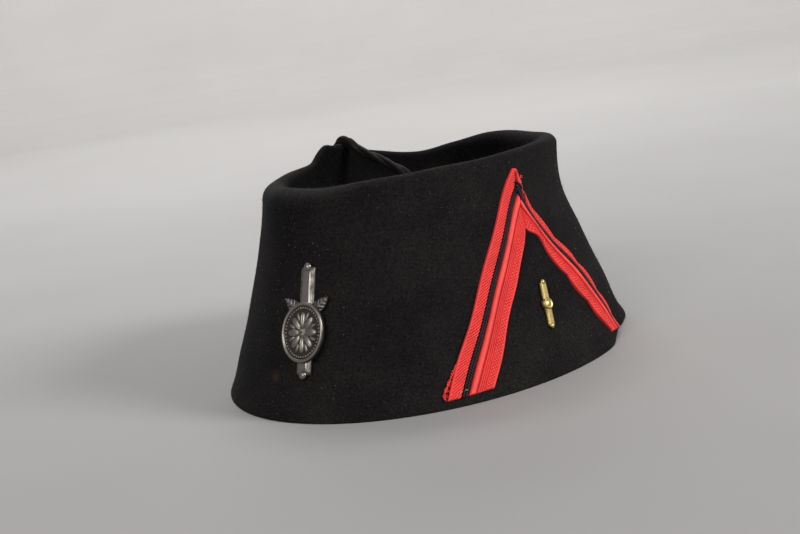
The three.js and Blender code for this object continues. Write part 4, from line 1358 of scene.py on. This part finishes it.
def side_pin():
    """Bar, balls and boss, seated inside the chevron."""
    boss = turned(PIN_BOSS["out"], PIN_BOSS["height"], PIN_BOSS_SIDES, relief=METAL_SHADE["boss"])
    return moved(joined(flat_bar(PIN_BAR), *end_balls(PIN_BAR, PIN_BALL), boss), *seat(PIN))


def studio():
    """Round cove: a level floor whose edge curves up into a wall, with soft lights and a pale surround."""
    bend = np.linspace(0, np.pi / 2, COVE["steps"])
    reach = COVE["floor"] + COVE["bend"]
    out = np.concatenate([[COVE["middle"]], COVE["floor"] + COVE["bend"] * np.sin(bend), [reach]])
    height = np.concatenate([[0], COVE["bend"] - COVE["bend"] * np.cos(bend), [COVE["top"]]])
    points = round_z(out[:, None], height[:, None], circle(COVE["sides"]))
    faces = grid_quads(len(out), COVE["sides"])[:, ::-1].tolist() + [list(range(COVE["sides"]))]
    mesh = bpy.data.meshes.new("studio_cove")
    mesh.from_pydata(points.reshape(-1, 3).tolist(), [], faces)
    cove = bpy.data.objects.new("studio_cove", mesh)
    bpy.context.scene.collection.objects.link(cove)
    paper = Finish("pale_paper", Roughness=0.9)
    tone = paper.noise(paper.place(), PAPER_SCALE, 2)
    mesh.materials.append(paper.give(Base_Color=paper.ramp(tone, (0.3, PAPER_DARK), (0.7, PAPER_LIGHT))))
    for name, light in LIGHTS.items():
        data = bpy.data.lights.new(name, "AREA")
        data.size = light["size"]
        data.energy = light["power"]
        data.color = LIGHT_COLOUR
        stand(name, data, light["turn"], light["rise"], light["distance"], aim=light["aim"])
    world = bpy.data.worlds.new("surround")
    world.use_nodes = True
    for socket, value in SURROUND.items():
        world.node_tree.nodes["Background"].inputs[socket].default_value = value
    bpy.context.scene.world = world


set_camera()

route = cord_path()
tassel_place = tassel_axes()
head = piece("tassel_head", moved(tassel_head(), *tassel_place), TASSEL_BLACK, "tassel_black", "tassel")
skirt = piece("tassel_skirt", moved(tassel_skirt(), *tassel_place), TASSEL_BLACK, "tassel_black", "tassel")
cord = piece("cord", cord_shape(route), TASSEL_BLACK, "tassel_black", "tassel_cord")

felt_skin = felt_line(np.arange(FELT_TURNS) * 360 / FELT_TURNS)
outside = felt_skin[: FELT_RINGS["wall"]]
specks = joined(felt_fibres(outside, **SPECKS), felt_fibres(outside, **HIGH_SPECKS), pale_thread())
piece("felt", felt_crown(felt_skin), FELT_NAP, "felt", "felt_crown")
piece("felt_fibres", felt_fibres(felt_skin, **NAP), NAP_FIBRE, "felt")
piece("lint", specks, LINT, "felt")
piece("outer_braid", outer_braid(), SCARLET, "red_braid", "chevron_outer_band")
piece("inner_braid", inner_braid(), SCARLET, "red_braid", "chevron_inner_band")
piece("stripe", stripe_cords(), STRIPE_BLACK, "black_cord", "chevron_stripe")
piece("frayed_threads", frayed_threads(), SCARLET, "red_braid")
piece("badge", front_badge(), NICKEL, "badge_metal", "front_badge")
piece("pin", side_pin(), BRASS, "pin_brass", "side_pin")

studio()
bpy.context.scene.view_settings.view_transform = "Standard"
